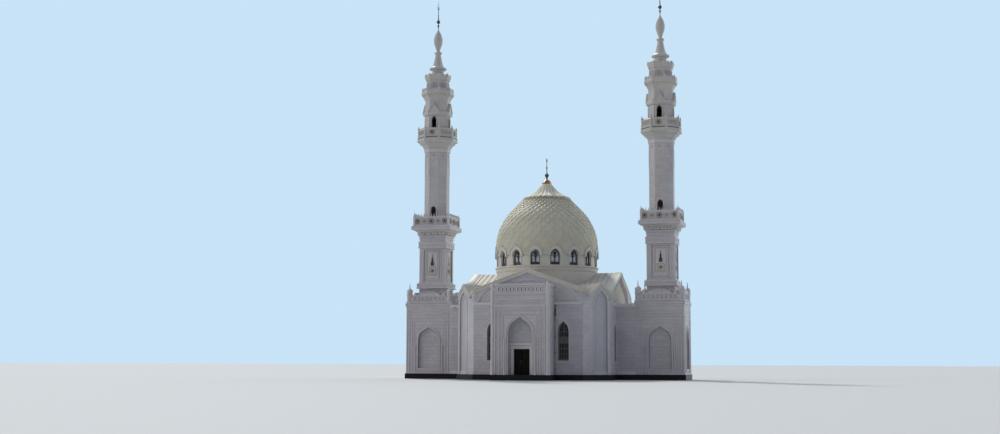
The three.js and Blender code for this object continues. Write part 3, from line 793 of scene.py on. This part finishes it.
edges, verges, field_lines, side_fields, plain_fields, ledges, facets, facet_fields = (
    Piece() for _ in range(8))
for turn, (end, scale) in ENDS.items():
    at = side(turn, face=end)
    reach = FACET_SUM - end
    edge = [(u * scale, z) for u, z in SMOOTH_KEEL if u * scale < reach - 0.1]
    wall_edge(at, both_sides(edge + [(reach, height_on(SMOOTH_KEEL, reach / scale))]), **GABLE_EDGE)
    field = both_sides(moved(rounded(FIELD), scale=scale))
    field_lines.band(at, field, 0.14, -0.26, 0.01)
    field_lines.band(at, moved(field, up=-0.32, scale=0.93), 0.07, -0.26, -0.06)
    if end == SIDE:
        # Painted warm light on the side gables' fields.
        side_fields.slab(at, field, -0.27, -0.23)
    else:
        plain_fields.slab(at, field, -0.27, -0.1)
        field_lines.band(at, opening(1.85, 8.7, 9.7, 11.06, steps=10), 0.16, -0.12, -0.03)
        field_lines.band(at, opening(1.55, 8.7, 9.6, 10.72, steps=10), 0.08, -0.12, -0.06)
    wide = 6.15 * scale
    for u0, u1 in ((-wide, wide),) if turn == 180 else ((-wide, -3.05), (3.05, wide)):
        for proud, z0, z1 in ((0.05, 8.36, 8.44), (0.13, 8.44, 8.56), (0.09, 8.56, 8.62)):
            ledges.block(at, u0, u1, -0.02, proud, z0, z1)
left, right = CORNER - FRONT * math.sqrt(2), SIDE * math.sqrt(2) - CORNER
across = [right - (right - left) * k / 40 for k in range(41)]
niche_at = DORMER_AT + 0.06
for turn in DIAGONALS:
    at = side(turn, flip=1 if turn in (45, 225) else -1, face=CORNER)
    wall_edge(at, [(u, facet_top(at, u)) for u in across], **CORNER_EDGE)
    facets.band(at, keel_arch(0.9, GROUND, 8.5, 10.04, niche_at), 0.16, -0.05, 0.06)
    # Painted shade in the corner niche's recessed field.
    facet_fields.slab(at, keel_arch(0.84, GROUND, 8.5, 9.94, niche_at), -0.3, -0.14)
    facets.band(at, keel_arch(0.6, GROUND, 8.3, 9.4, niche_at), 0.07, -0.16, -0.09)
    facets.block(at, niche_at - 0.82, niche_at + 0.82, -0.3, -0.04, 0.6, 0.95)
make(edges, "roof_edge_bands", CREAM)
make(verges, "roof_verges", ROOF)
make(field_lines, "gable_fields", CARVED)
make(side_fields, "side_gable_fields", SIDE_FIELD)
make(plain_fields, "front_gable_fields", MARBLE)
make(ledges, "wall_ledges", BRIGHT)
make(facets, "facet_niches", CARVED)
make(facet_fields, "facet_fields", FACET_FIELD)


# Hall windows: pane, frame, mullions and tracery in each tall opening.
WINDOW_AT = 4.05
WINDOW_SILL = 2.1
WINDOW_SPRING = 5.35
FRAME_BACK = -0.58
FRAME_FACE = -0.46
FANS = (([(0.02, 5.35), (0.14, 5.62), (0.3, 5.78), (0.46, 5.8)], 0.05),
        ([(0.02, 5.7), (0.1, 5.9), (0.24, 6.05)], 0.04))


def tall_window(at, middle):
    def arch(half, sill, apex, steps=2):
        return keel_arch(half, sill, WINDOW_SPRING, apex, middle, steps)

    def bar(line, width, face):
        frames.band(at, line, width, FRAME_BACK, face)

    glazing.slab(at, arch(0.64, WINDOW_SILL, 6.54, 1), FRAME_BACK + 0.01, FRAME_BACK + 0.05)
    bar(loop(arch(0.56, 2.22, 6.38)), 0.12, FRAME_FACE)
    bar([(middle, 2.2), (middle, 6.3)], 0.09, FRAME_FACE)
    for u in (middle - 0.29, middle + 0.29):
        bar([(u, 2.2), (u, WINDOW_SPRING)], 0.04, FRAME_FACE - 0.03)
    for z, thick in ((2.3, 0.14), (2.9, 0.03), (3.47, 0.08), (4.06, 0.08), (4.76, 0.1), (5.35, 0.07)):
        bar([(middle - 0.58, z), (middle + 0.58, z)], thick, FRAME_FACE - 0.02)
    for hand in HANDS:
        u0, u1 = sorted((middle + hand * 0.06, middle + hand * 0.56))
        panels.block(at, u0, u1, FRAME_BACK + 0.05, FRAME_BACK + 0.07, 4.12, 4.72)
        for fan, thick in FANS:
            bar(moved(fan, middle, scale=hand), thick, FRAME_FACE - 0.04)
    trim.band(at, arch(0.69, WINDOW_SILL, 6.6), 0.14, -0.05, 0.05)
    trim.block(at, middle - 0.82, middle + 0.82, -0.3, 0.11, 1.98, 2.15)
    trim.block(at, middle - 0.76, middle + 0.76, -0.05, 0.06, 1.86, 1.98)


frames, glazing, panels, trim = (Piece() for _ in range(4))
for turn, (end, _) in ENDS.items():
    for middle in (-WINDOW_AT, WINDOW_AT):
        tall_window(side(turn, face=end), middle)
make(frames, "hall_window_frames", BARS)
make(glazing, "hall_window_panes", GLASS)
make(panels, "hall_window_transoms", BARS)
make(trim, "hall_window_surrounds", CARVED)

# Links between hall and towers: coping and base.
links = Piece()
LINK_BANDS = ((-0.04, 0.12, 8.4, 8.56), (-0.04, 0.07, 8.56, 8.66), (-0.04, 0.06, 8.3, 8.4),
              (-0.02, 0.05, 0.6, 0.95))
for u0, u1 in ((SIDE, 11.02), (-11.02, -SIDE)):
    for _, at in walls((0, 180), face=LINK_HALF):
        for band in LINK_BANDS:
            links.block(at, u0, u1, *band)
make(links, "link_copings", BRIGHT)

# Water spouts: at both ends of each corner wall and on the links.
spouts = Piece()
for hand_x, hand_y in CORNERS:
    for turn, x, y, face, z in ((67.5, 6.75, 8.98, 0, 9.25), (22.5, 8.88, 6.62, 0, 9.05),
                                (90, 10.5, LINK_HALF, 0.05, 8.36)):
        at = side((90 + turn * hand_y) * hand_x, hand_x * x, hand_y * y, face=face)
        trough = [(-0.1, z - 0.08), (0.1, z - 0.08), (0.13, z + 0.08), (-0.13, z + 0.08)]
        spouts.slab(at, trough, -0.2, 0.42)
        spouts.block(at, -0.15, 0.15, -0.25, 0.04, z - 0.12, z + 0.11)
make(spouts, "water_spouts", CARVED)

# Portal: mouldings, nested frames, stepped arch, frieze and shafts.
front_wall, portal_wall, recess = (side(0, face=face) for face in (FRONT, PORTAL_FRONT, RECESS))
MOULDINGS = ((8.81, 0.14, 0.1), (8.12, 0.14, 0.08), (9.42, 0.12, 0.09), (10.4, 0.16, 0.1))
FRIEZE = spread(12, 0.426)
portal = Piece()
for z, tall, proud in (*MOULDINGS, (8.49, 0.08, 0.05)):
    portal.block(portal_wall, -2.9, 2.9, -0.02, proud, z - tall / 2, z + tall / 2)
for half, top, width, proud in ((2.78, 7.98, 0.13, 0.08), (2.3, 7.62, 0.1, 0.07), (2.02, 7.2, 0.08, 0.06),
                                (1.84, 6.98, 0.05, 0.04)):
    portal.band(portal_wall, jambs(half, GROUND, top), width, -0.02, proud)
for half, apex, proud in ((1.54, 7.14, 0.09), (1.4, 6.96, 0.05)):
    portal.band(portal_wall, keel_arch(half, GROUND, 5.2, apex), 0.1, -0.02, proud)
portal.band(recess, keel_arch(1.02, 4.2, 5.0, 6.35), 0.08, 0.01, 0.08)
for hand in HANDS:
    for z, tall, proud in MOULDINGS:
        portal.block(side(90 * hand), *sorted((-FRONT * hand, -12.75 * hand)), 3.03, 3.05 + proud,
                     z - tall / 2, z + tall / 2)
    for k in range(22):
        portal.slab(portal_wall, diamond(hand * 2.54, 0.95 + 0.32 * k, 0.07, 0.1), -0.01, 0.035)
make(portal, "portal_mouldings", CARVED)

bands = Piece()
for z0, z1, far in ((3.56, 3.74, 0.11), (3.82, 4.04, 0.11), (3.42, 3.5, 0.07)):
    bands.block(recess, -1.31, 1.31, 0, far, z0, z1)
for u in (-1.06, 1.06):
    bands.block(recess, u - 0.12, u + 0.12, 0, 0.08, GROUND, 3.56)
for u in FRIEZE:
    bands.band(portal_wall, loop(opening(0.12, 9.63, 9.95, 10.2, u, 6)), 0.07, -0.02, 0.07)
make(bands, "portal_bands", BRIGHT)

# Painted shade: dark slabs in the frieze's small arches.
niches = Piece()
for u in FRIEZE:
    niches.slab(portal_wall, opening(0.085, 9.66, 9.94, 10.14, u, 5), -0.01, 0.012)
make(niches, "portal_niche_shade", NICHE_SHADE)

COLONNETTE = [(0.26, 0.6), (0.26, 0.78), (0.23, 0.84), (0.25, 0.92), (0.21, 1.0), (0.205, 1.1),
              (0.205, 9.1), (0.235, 9.16), (0.21, 9.22), (0.24, 9.36), (0.268, 9.42), (0.268, 9.5),
              (0.2, 9.56), (0.165, 9.64), (0.165, 10.02), (0.2, 10.08), (0.25, 10.2), (0.25, 10.32),
              (0.2, 10.46), (0.1, 10.58), (0.04, 10.66), (0.03, 10.76)]
POST = [(0.11, 0.6), (0.11, 0.74), (0.09, 0.8), (0.08, 0.86), (0.08, 4.2), (0.1, 4.26), (0.08, 4.32),
        (0.11, 4.44), (0.11, 4.5), (0.02, 4.56)]
shafts = Piece()
for hand in HANDS:
    shafts.turned(COLONNETTE, 24, *portal_wall(hand * 3.1, -0.12, 0)[:2])
    shafts.turned(POST, 16, *portal_wall(hand * 1.72, 0.03, 0)[:2])
make(shafts, "portal_shafts", CARVED)

# Downpipes: beside the portal with their heads and clips, and on the back wall.
PIPE_RUN = ((0.08, GROUND), (0.08, 7.9), (0.14, 8.05), (0.16, 8.2))
ARM_RUN = ((-0.22, 0.2, 7.52), (-0.18, 0.16, 7.62), (0, 0.1, 7.64))
fittings = Piece()
pipes = Piece()
for hand in HANDS:
    x = hand * 3.19
    pipes.tube([front_wall(x, d, z) for d, z in PIPE_RUN], 0.045)
    for z in (1.2, 3.0, 4.8, 6.6):
        fittings.block(front_wall, x - 0.08, x + 0.08, -0.02, 0.16, z, z + 0.06)
    fittings.turned([(0.06, 8.12), (0.14, 8.18), (0.14, 8.24), (0.05, 8.26)], 12,
                    *front_wall(x, 0.15, 0)[:2])
    fittings.tube([front_wall(x, 0.08, z) for z in (7.0, 8.1)], 0.06)
    fittings.turned([(0.03, 7.18), (0.11, 7.24), (0.12, 7.4), (0.06, 7.5), (0.02, 7.54)], 12,
                    *front_wall(x - 0.22, 0.2, 0)[:2])
    fittings.tube([front_wall(x + u, d, z) for u, d, z in ARM_RUN], 0.025, 8)
for hand in HANDS:
    pipes.tube([(hand * 6.0, FRONT + 0.07, z) for z in (GROUND, 8.2)], 0.05)
make(fittings, "downpipe_heads", DARK_METAL)
make(pipes, "downpipes", PIPE)

# Doors: rails, stiles and raised panels on both faces of each leaf, and a bar handle.
for name, hand in (("left", -1), ("right", 1)):
    leaf = Piece()
    for near, far, panel in ((-0.04, -0.01, -0.02), (-0.1, -0.115, -0.112)):
        for u0, u1, depth, z0, z1 in (
                (0.02, 0.1, far, 0.66, 3.34), (0.62, 0.7, far, 0.66, 3.34),
                *((0.02, 0.7, far, z, z + 0.1) for z in (0.66, 1.26, 2.2, 2.94, 3.24)),
                *((0.18, 0.54, panel, z0, z1) for z0, z1 in ((0.82, 1.2), (1.42, 2.14), (2.36, 2.88)))):
            leaf.block(recess, *sorted((hand * u0, hand * u1)), near, depth, z0, z1)
    make(leaf, "door_panels_" + name, DOOR, body=name + "_door")
    handle = Piece()
    handle.turned([(0.02, 1.75), (0.02, 2.15)], 10, *recess(hand * 0.13, 0.005, 0)[:2])
    for z in (1.75, 2.15):
        handle.ball(*recess(hand * 0.13, -0.005, z), 0.024)
    make(handle, "door_handle_" + name, BRONZE, body=name + "_door")


# Minarets.
def octagon_corner(turn, distance, x, inset=0.0):
    """Plan point of the corner beside a face of an octagon."""
    a = math.radians(turn + 22.5)
    corner = distance / math.cos(math.pi / 8) - inset
    return x + corner * math.sin(a), -corner * math.cos(a)


TOWER_FOOT = 0.84
NICHE_POST = [(0.11, TOWER_FOOT), (0.11, 1.0), (0.08, 1.06), (0.075, 3.6), (0.11, 3.68), (0.08, 3.74),
              (0.11, 3.84), (0.11, 3.9), (0.02, 3.96)]


def tower_trim(piece, x):
    piece.belts([(2.6, 2.82, 0.6, 0.84), (2.6, 2.8, 6.86, 6.96), (2.6, 2.81, 7.58, 7.7),
                 (2.6, 2.8, 8.3, 8.42), (2.6, 2.85, 8.42, 8.58)], x)
    for turn, at in walls(QUARTERS, x, TOWER):
        if turn == (90 if x < 0 else 270):
            continue
        for half, top, width, proud in ((2.42, 7.9, 0.11, 0.06), (2.1, 7.3, 0.09, 0.05),
                                        (1.86, 6.7, 0.07, 0.04)):
            piece.band(at, jambs(half, TOWER_FOOT, top), width, -0.05, proud)
        piece.band(at, keel_arch(1.38, TOWER_FOOT, 4.6, 6.17), 0.16, -0.05, 0.09)
        piece.band(at, keel_arch(1.14, 1.22, 4.6, 5.76), 0.07, -0.33, -0.22)
        piece.block(at, -1.3, 1.3, -0.31, -0.22, 4.56, 4.66)
        piece.block(at, -1.3, 1.3, -0.31, -0.25, 3.86, 3.92)
        piece.block(at, -1.44, 1.44, -0.31, 0.05, 1.06, 1.24)
        for hand in HANDS:
            piece.turned(NICHE_POST, 12, *at(hand * 1.66, 0.03, 0)[:2])
    corner = TOWER - 0.03
    for cx, cy in CORNERS:
        piece.turned([(0.09, TOWER_FOOT), (0.09, 8.36)], 12, x + cx * corner, cy * corner)


CROWN_TOP = [(0, 10.28), (0.5, 10.22), (1.0, 10.05), (1.4, 9.86), (1.9, 9.78), (2.2, 9.76)]
TURRET = [(0.36, 8.84), (0.36, 9.0), (0.31, 9.06), (0.31, 9.7), (0.35, 9.76), (0.33, 9.82), (0.4, 9.9),
          (0.4, 10.0), (0.36, 10.05), (0.29, 10.09), (0.34, 10.18), (0.38, 10.3), (0.36, 10.42),
          (0.26, 10.56), (0.12, 10.67), (0.06, 10.75), (0.08, 10.82), (0.05, 10.88), (0.03, 11.0),
          (0.05, 11.06), (0.025, 11.12), (0.015, 11.3)]
CORNER_BLOCK = [(1.93, 9.78), (1.67, 9.78), (1.67, 9.98), (1.8, 10.14), (1.93, 9.98)]


def crown_trim(piece, shade, x):
    piece.belts([(2.4, 2.84, 8.96, 9.1), (1.8, 2.06, 10.06, 10.22), (1.5, 1.9, 10.72, 10.86),
                 (1.5, 1.88, 11.2, 11.32), (1.5, 1.72, 11.32, 11.46)], x)
    for _, at in walls(QUARTERS, x, TOWER):
        piece.band(at, both_sides(rounded(CROWN_TOP, 2)), 0.08, -0.15, 0.04)
        for u in spread(8, 0.512):
            piece.band(at, loop(keel_arch(0.13, 9.2, 9.5, 9.76, u, 1)), 0.06, -0.03, 0.05)
            shade.slab(at, keel_arch(0.1, 9.22, 9.5, 9.72, u, 1), -0.02, 0.015)
        for hand in HANDS:
            piece.slab(at, moved(CORNER_BLOCK, scale=hand), -0.25, 0.03)
    turret_at = TOWER - 0.25
    for cx, cy in CORNERS:
        piece.turned(TURRET, 20, x + cx * turret_at, cy * turret_at)


def roundel(ring, petals, at, u, z, r, d):
    """A round rosette: a dark eye in a ring, with dark petals round it."""
    petals.slab(at, circle(r * 0.42, z, u, 12), d - 0.01, d + 0.035)
    ring.band(at, circle(r * 0.6, z, u, 16), r * 0.16, d - 0.02, d + 0.05, closed=True)
    for k in range(8):
        a = math.pi * (k + 0.5) / 4
        petal = [(u + r * c * math.cos(a + b), z + r * c * math.sin(a + b))
                 for b, c in ((0, 1.12), (0.28, 0.95), (0, 0.78), (-0.28, 0.95))]
        petals.slab(at, petal, d - 0.01, d + 0.035)


SLIT = both_sides([(0, 14.88), (0.06, 14.84), (0.1, 14.42), (0.16, 14.32), (0.16, 13.98), (0.25, 13.86),
                   (0.25, 13.42)])


def shaft_trim(piece, dark, inlay, x):
    piece.belts([(1.5, 1.75, 15.58, 15.72), (1.5, 1.76, 16.2, 16.36), (1.5, 1.68, 16.7, 16.8),
                 (1.5, 1.74, 16.96, 17.13)], x)
    for _, at in walls(QUARTERS, x, SHAFT):
        piece.band(at, loop(jambs(1.12, 11.55, 15.45)), 0.1, -0.14, -0.03)
        piece.band(at, loop(jambs(0.78, 11.98, 15.2)), 0.09, -0.2, -0.09)
        piece.block(at, -0.76, 0.76, -0.2, -0.14, 12.0, 15.2)
        piece.band(at, loop(SLIT), 0.08, -0.2, -0.1)
        # Painted shade: a dark slab fills the slit window.
        dark.slab(at, SLIT, -0.15, -0.13)
        inlay.band(at, loop(jambs(0.4, 12.46, 13.26)), 0.08, -0.16, -0.1)
        inlay.band(at, loop(jambs(0.62, 12.32, 15.08)), 0.05, -0.16, -0.115)
        roundel(inlay, dark, at, 0, 12.86, 0.23, -0.145)
        piece.block(at, -0.56, 0.56, -0.2, -0.1, 12.14, 12.24)
        for u, half in ((-1.025, 0.475), (0, 0.45), (1.025, 0.475)):
            piece.band(at, loop(jambs(half, 15.82, 16.1, u)), 0.05, 0, 0.05)


def lower_balcony_trim(piece, dark, inlay, x):
    piece.belts([(2.3, 2.46, 17.84, 18.0), (2.3, 2.43, 18.12, 18.25), (2.1, 2.22, 18.25, 18.4),
                 (1.98, 2.24, 19.22, 19.36)], x)
    for _, at in walls(QUARTERS, x, BALCONY):
        for u in spread(4, 0.82):
            piece.slab(at, keel_arch(0.3, 17.2, 17.34, 17.76, u, 1), -0.48, -0.22)
            inlay.slab(at, keel_arch(0.2, 17.3, 17.36, 17.62, u, 1), -0.38, -0.195)
        for u in (-1.72, 0, 1.72):
            roundel(inlay, dark, at, u, 18.82, 0.31, 0.01)
            piece.band(at, loop(jambs(0.4, 18.44, 19.18, u)), 0.05, -0.02, 0.04)
        for u in (-0.86, 0.86):
            inlay.band(at, loop(jambs(0.18, 18.64, 18.98, u)), 0.05, -0.02, 0.05)
            dark.slab(at, diamond(u, 18.81, 0.09, 0.09), -0.01, 0.03)
            piece.band(at, loop(jambs(0.32, 18.44, 19.18, u)), 0.04, -0.02, 0.03)
        for u in spread(13, 0.32):
            piece.slab(at, tooth(u, 0.08, 19.34, 0.06, 19.46, 19.74), -0.15, -0.03)
    for cx, cy in CORNERS:
        px, py = x + cx * (BALCONY - 0.05), cy * (BALCONY - 0.05)
        piece.block(side(0, px, py), -0.12, 0.12, -0.12, 0.12, 18.26, 19.42)
        piece.turned([(0.16, 19.4), (0.17, 19.48), (0.1, 19.56), (0.05, 19.7), (0.02, 19.95)], 12, px, py)


def octagon_trim(piece, shade, x):
    piece.sided([(1.3, 18.25), (1.52, 18.25), (1.52, 18.42), (1.46, 18.5), (1.3, 18.5)], x)
    piece.sided([(1.3, 27.36), (1.44, 27.36), (1.5, 27.46), (1.46, 27.56), (1.52, 27.7), (1.3, 27.72)], x)
    for _, at in walls(OCTAGON, x, OCTAGON_SHAFT):
        piece.band(at, keel_arch(OCTAGON_SHAFT * RISE_8 * 0.86, 24.6, 26.0, 27.26), 0.07, -0.03, 0.03)
        piece.band(at, both_sides([(0, 26.75), (0.2, 26.35), (0.4, 25.5)]), 0.06, -0.03, 0.02)
        shade.slab(at, keel_arch(0.15, 26.84, 26.88, 27.16, 0, 1), -0.02, 0.01)
    door = opening(0.4, 18.3, 20.3, 20.8, steps=6)
    piece.band(side(0, x, face=OCTAGON_SHAFT), door, 0.1, -0.04, 0.07)


BALCONY_POST = [(0.1, 29.3), (0.1, 30.18), (0.14, 30.22), (0.13, 30.3), (0.07, 30.4), (0.03, 30.62)]


def upper_balcony_trim(piece, dark, inlay, x):
    for ring in (
            [(1.4, 27.66), (1.5, 27.7), (1.5, 27.86), (1.62, 27.96), (1.62, 28.08), (1.4, 28.1)],
            [(1.8, 28.28), (1.99, 28.34), (1.99, 28.46), (1.8, 28.5)],
            [(2.1, 28.62), (2.3, 28.66), (2.3, 28.8), (2.26, 28.86), (2.27, 29.04), (2.1, 29.06)],
            [(1.96, 30.02), (2.21, 30.02), (2.22, 30.12), (2.16, 30.18), (1.96, 30.18)]):
        piece.sided(ring, x)
    half = UPPER_BALCONY * RISE_8
    for turn, at in walls(OCTAGON, x, UPPER_BALCONY):
        piece.band(at, loop(jambs(half - 0.14, 29.34, 29.99)), 0.07, -0.03, 0.04)
        if turn % 90 == 0:
            roundel(inlay, dark, at, 0, 29.69, 0.32, 0.005)
        else:
            for u in spread(6, 0.2):
                inlay.block(at, u - 0.03, u + 0.03, -0.02, 0.04, 29.5, 29.9)
            for z in (29.52, 29.7, 29.88):
                inlay.block(at, -0.56, 0.56, -0.02, 0.03, z - 0.025, z + 0.025)
        # Painted shade: a dark strip for the gap under the parapet's panels.
        dark.block(at, 0.12 - half, half - 0.12, 0.05, 0.135, 29.05, 29.13)
        for u in spread(5, 0.3):
            piece.slab(at, tooth(u, 0.09, 30.16, 0.06, 30.24, 30.3), -0.13, -0.01)
        piece.turned(BALCONY_POST, 10, *octagon_corner(turn, UPPER_BALCONY, x, 0.03))


STAGE = [(1.0, 31.84), (1.46, 31.84), (1.56, 31.88), (1.64, 31.94), (1.68, 32.06), (1.68, 32.3),
         (1.42, 32.42), (1.4, 33.7), (1.44, 33.8), (1.5, 33.95), (1.58, 34.1), (1.66, 34.24),
         (1.76, 34.38), (1.84, 34.52), (1.87, 34.66), (1.84, 34.8), (1.78, 34.9), (1.76, 35.04),
         (1.6, 35.06), (1.26, 35.0), (1.25, 36.0), (1.28, 36.08), (1.3, 36.24), (1.38, 36.38), (1.4, 36.5),
         (1.48, 36.62), (1.5, 36.76), (1.44, 36.84), (1.05, 36.9), (0.75, 37.1), (0.1, 37.1), (0.1, 36.86),
         (0.7, 36.86), (0.7, 36.1), (1.0, 35.9)]
STAGE_FOOT = 29.3
STAGE_TOP = 31.9
STAGE_SPRING = 31.3


def merlons(piece, at, half, count, z, near, far):
    w = 2 * half / count * 0.36
    for u in spread(count, 2 * half / count):
        piece.slab(at, tooth(u, w, z - 0.04, w, z + 0.16, z + 0.3), near, far)


def stage_wall(piece, glazing, at, turn):
    """One side of the eight round the upper door: the door, a window or plain."""
    half, shrink = STAGE_WALL * RISE_8, STAGE_INSIDE / STAGE_WALL
    if turn % 90:
        outer = jambs(half, STAGE_FOOT, STAGE_TOP)
        piece.rings([[at(u, STAGE_WALL, z) for u, z in outer],
                     [at(u * shrink, STAGE_INSIDE, z) for u, z in outer]])
        return
    hole = opening(0.3, 30.42 if turn else 29.35, STAGE_SPRING, 31.76, steps=6)
    outer = panel_loops(hole, half, STAGE_SPRING, STAGE_TOP, foot=STAGE_FOOT)[0]
    inside = [(u * shrink, z) for u, z in outer]
    piece.rings([[at(u, d, z) for u, z in edge] for edge, d in
                 ((inside, STAGE_INSIDE), (outer, STAGE_WALL), (hole, STAGE_WALL), (hole, STAGE_INSIDE))],
                closed=True)
    piece.band(at, opening(0.37, 30.36 if turn else 29.4, 31.26, 31.82, steps=6), 0.1, 1.4, 1.5)
    if turn:
        glazing.slab(at, opening(0.31, 30.4, STAGE_SPRING, 31.77, steps=5), 1.3, 1.34)
        piece.block(at, -0.42, 0.42, 1.4, 1.5, 30.3, 30.42)


def stage_radius(z):
    """Distance of the upper stage's face from its axis at a height."""
    for (a, za), (b, zb) in zip(STAGE, STAGE[1:]):
        if za <= z <= zb:
            return a + (b - a) * (z - za) / (zb - za)
    return 0.0


def upper_stage(piece, shade, inlay, glazing, x):
    piece.sided(STAGE, x)
    for turn, at in walls(OCTAGON, x):
        stage_wall(piece, glazing, at, turn)
        if turn % 90 == 0:
            piece.slab(at, both_sides([(0, 33.38), (0.69, 32.3), (0.69, 32.0)]), 1.3, 1.66)
            piece.band(at, [(0.69, 32.28), (0, 33.36), (-0.69, 32.28)], 0.1, 1.4, 1.72)
        for us, z, r in (((-0.54, -0.18, 0.18, 0.54), 34.4, 0.1), ((-0.36, 0, 0.36), 36.3, 0.07)):
            for u in us:
                inlay.rings([[at(v, stage_radius(h) + lift, h) for v, h in circle(r, z, u, 10)]
                             for lift in (-0.03, 0.025)])
        merlons(piece, at, 1.76 * RISE_8, 4, 35.02, 1.62, 1.76)
        piece.band(at, keel_arch(0.3, 35.1, 35.7, 36.05, 0, 1), 0.06, 1.2, 1.3)
        shade.slab(at, keel_arch(0.22, 35.3, 35.7, 35.98, 0, 1), 1.2, 1.262)
        merlons(piece, at, 1.49 * RISE_8, 3, 36.78, 1.34, 1.48)
        for distance, z0, z1 in ((STAGE_WALL, STAGE_FOOT, 31.6), (1.26, 35.0, 36.0)):
            piece.turned([(0.05, z0), (0.05, z1)], 8, *octagon_corner(turn, distance, x, 0.01))
        for distance, z, high in ((1.72, 34.9, 0.55), (1.42, 36.7, 0.5)):
            point = [(0.09, z), (0.09, z + 0.2), (0.11, z + 0.24), (0.07, z + 0.32), (0.015, z + high)]
            piece.turned(point, 8, *octagon_corner(turn, distance, x))


SPIRE = [(0.72, 37.08), (0.72, 37.6), (0.8, 37.66), (0.92, 37.7), (1.04, 37.76), (1.06, 37.86),
         (1.0, 37.96), (0.84, 38.02), (0.72, 38.14), (0.64, 38.3), (0.55, 38.6), (0.48, 38.9), (0.4, 39.3),
         (0.345, 39.66), (0.43, 39.74), (0.46, 39.84), (0.45, 39.94), (0.33, 40.0), (0.24, 40.06),
         (0.22, 40.16), (0.26, 40.32), (0.33, 40.52), (0.42, 40.76), (0.5, 41.02), (0.54, 41.3),
         (0.55, 41.5), (0.53, 41.7), (0.47, 41.95), (0.38, 42.2), (0.27, 42.42), (0.17, 42.6),
         (0.1, 42.72), (0.055, 42.87)]
TIP = [(0.05, 42.8), (0.045, 43.1), (0.08, 43.18), (0.125, 43.3), (0.08, 43.42), (0.05, 43.48),
       (0.06, 43.56), (0.13, 43.62), (0.21, 43.72), (0.23, 43.82), (0.19, 43.92), (0.11, 44.02),
       (0.07, 44.12), (0.05, 44.6), (0.03, 45.33)]

STAIR_DOORS = ((18.3, 20.95), (29.36, 31.8))  # foot and top of the painted shade behind the balcony doors, a dark lining inside

for name, x in (("left", -MINARET_X), ("right", MINARET_X)):
    minaret = f"minaret_{name}_"
    tower, crown, shaft, balcony, stage, shade, dark, inlay, glazing, lining, bulb, tip = (
        Piece() for _ in range(12))
    tower_trim(tower, x)
    crown_trim(crown, shade, x)
    shaft_trim(shaft, dark, inlay, x)
    lower_balcony_trim(shaft, dark, inlay, x)
    octagon_trim(shaft, shade, x)
    upper_balcony_trim(balcony, dark, inlay, x)
    upper_stage(stage, shade, inlay, glazing, x)
    # Painted shade: dark sheets on the inner faces, seen through the doors.
    for z0, z1 in STAIR_DOORS:
        for _, at in walls(OCTAGON[1:], x):
            lining.block(at, -0.455, 0.455, 1.1, 1.14, z0, z1)
    bulb.turned(rounded(SPIRE, 2), 48, x)
    tip.turned(rounded(TIP, 2), 24, x)
    crescent(tip, side(90, x), 45.6, 0.3)
    tip.turned([(0.03, 45.28), (0.03, 45.34), (0.02, 45.36)], 12, x)
    tip.turned([(0.02, 45.9), (0.05, 45.98), (0.02, 46.06), (0.012, 46.49)], 12, x)
    make(tower, minaret + "tower_trim", CARVED)
    make(crown, minaret + "crown_trim", CARVED)
    make(shaft, minaret + "shaft_trim", CARVED)
    make(balcony, minaret + "upper_trim", UPPER_MARBLE)
    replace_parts(make(stage, minaret + "gables", UPPER_MARBLE), minaret + "upper_stage")
    # Painted shade in the minarets' niches.
    make(shade, minaret + "niches", SOFT_SHADE)
    make(dark, minaret + "dark_inlay_and_painted_shade", DARK_INLAY_AND_SHADE)
    make(inlay, minaret + "rosettes", ORNAMENT)
    make(glazing, minaret + "panes", GLASS)
    make(lining, minaret + "lining", STAIR_SHADE)
    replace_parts(make(bulb, minaret + "bulb", UPPER_MARBLE), minaret + "spire")
    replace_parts(make(tip, minaret + "tip", BRONZE), minaret + "finial")

# Floor.
FLOOR_HALF = 400  # model metres
floor = bpy.data.objects.new("floor", bpy.data.meshes.new("floor"))
floor.data.from_pydata([(FLOOR_HALF * cx, FLOOR_HALF * cy, 0) for cx, cy in CORNERS], [], [(0, 2, 3, 1)])
floor.data.materials.append(PALE_FLOOR)
bpy.context.scene.collection.objects.link(floor)

# Studio light, brighter and bluer behind the building than before it.
world = bpy.data.worlds.new("studio")
bpy.context.scene.world = world
world.use_nodes = True
sky = Nodes(world.node_tree)
way = sky.add("SeparateXYZ", {0: sky.add("TexCoord").outputs["Generated"]}).outputs["Y"]
behind = sky.add("MapRange", {"Value": way, "From Min": -0.7, "From Max": 0.7},
                 interpolation_type="SMOOTHSTEP")
tint = sky.mix("MIX", behind.outputs[0], (0.238, 0.238, 0.272, 1), (0.58, 0.77, 0.93, 1))
sky.tree.links.new(tint, sky.tree.nodes["Background"].inputs["Color"])


def sun(name, energy, colour, direction, angle):
    light = bpy.data.lights.new(name, "SUN")
    light.energy = energy
    light.color = colour
    light.angle = angle
    made = bpy.data.objects.new(name, light)
    made.rotation_euler = Vector(direction).to_track_quat("-Z", "Y").to_euler()
    bpy.context.scene.collection.objects.link(made)


sun("key", 2.3, (1, 0.96, 0.9), (0.4, -0.58, -0.71), 0.1)
sun("fill", 0.8, (1, 0.94, 0.86), (0.8, 0.32, -0.45), 0.9)
sun("side", 0.55, (1, 0.82, 0.62), (-0.75, -0.68, -0.2), 0.9)
bpy.context.scene.view_settings.view_transform = "Standard"

# Camera, as fitted to the photograph.
CAMERA_TILT = 96.28
CAMERA_TURN = 15.362
CAMERA_ROLL = 0.168
camera = bpy.data.objects.new("camera", bpy.data.cameras.new("camera"))
camera.data.lens = 47.4
camera.data.sensor_width = 36
camera.data.clip_end = 1000
aim = Euler((math.radians(CAMERA_TILT), 0, math.radians(CAMERA_TURN))).to_matrix()
camera.rotation_euler = (aim @ Matrix.Rotation(math.radians(CAMERA_ROLL), 3, "Z")).to_euler()
camera.location = (17.953, -75.0155, 1.0)
bpy.context.scene.collection.objects.link(camera)
bpy.context.scene.camera = camera
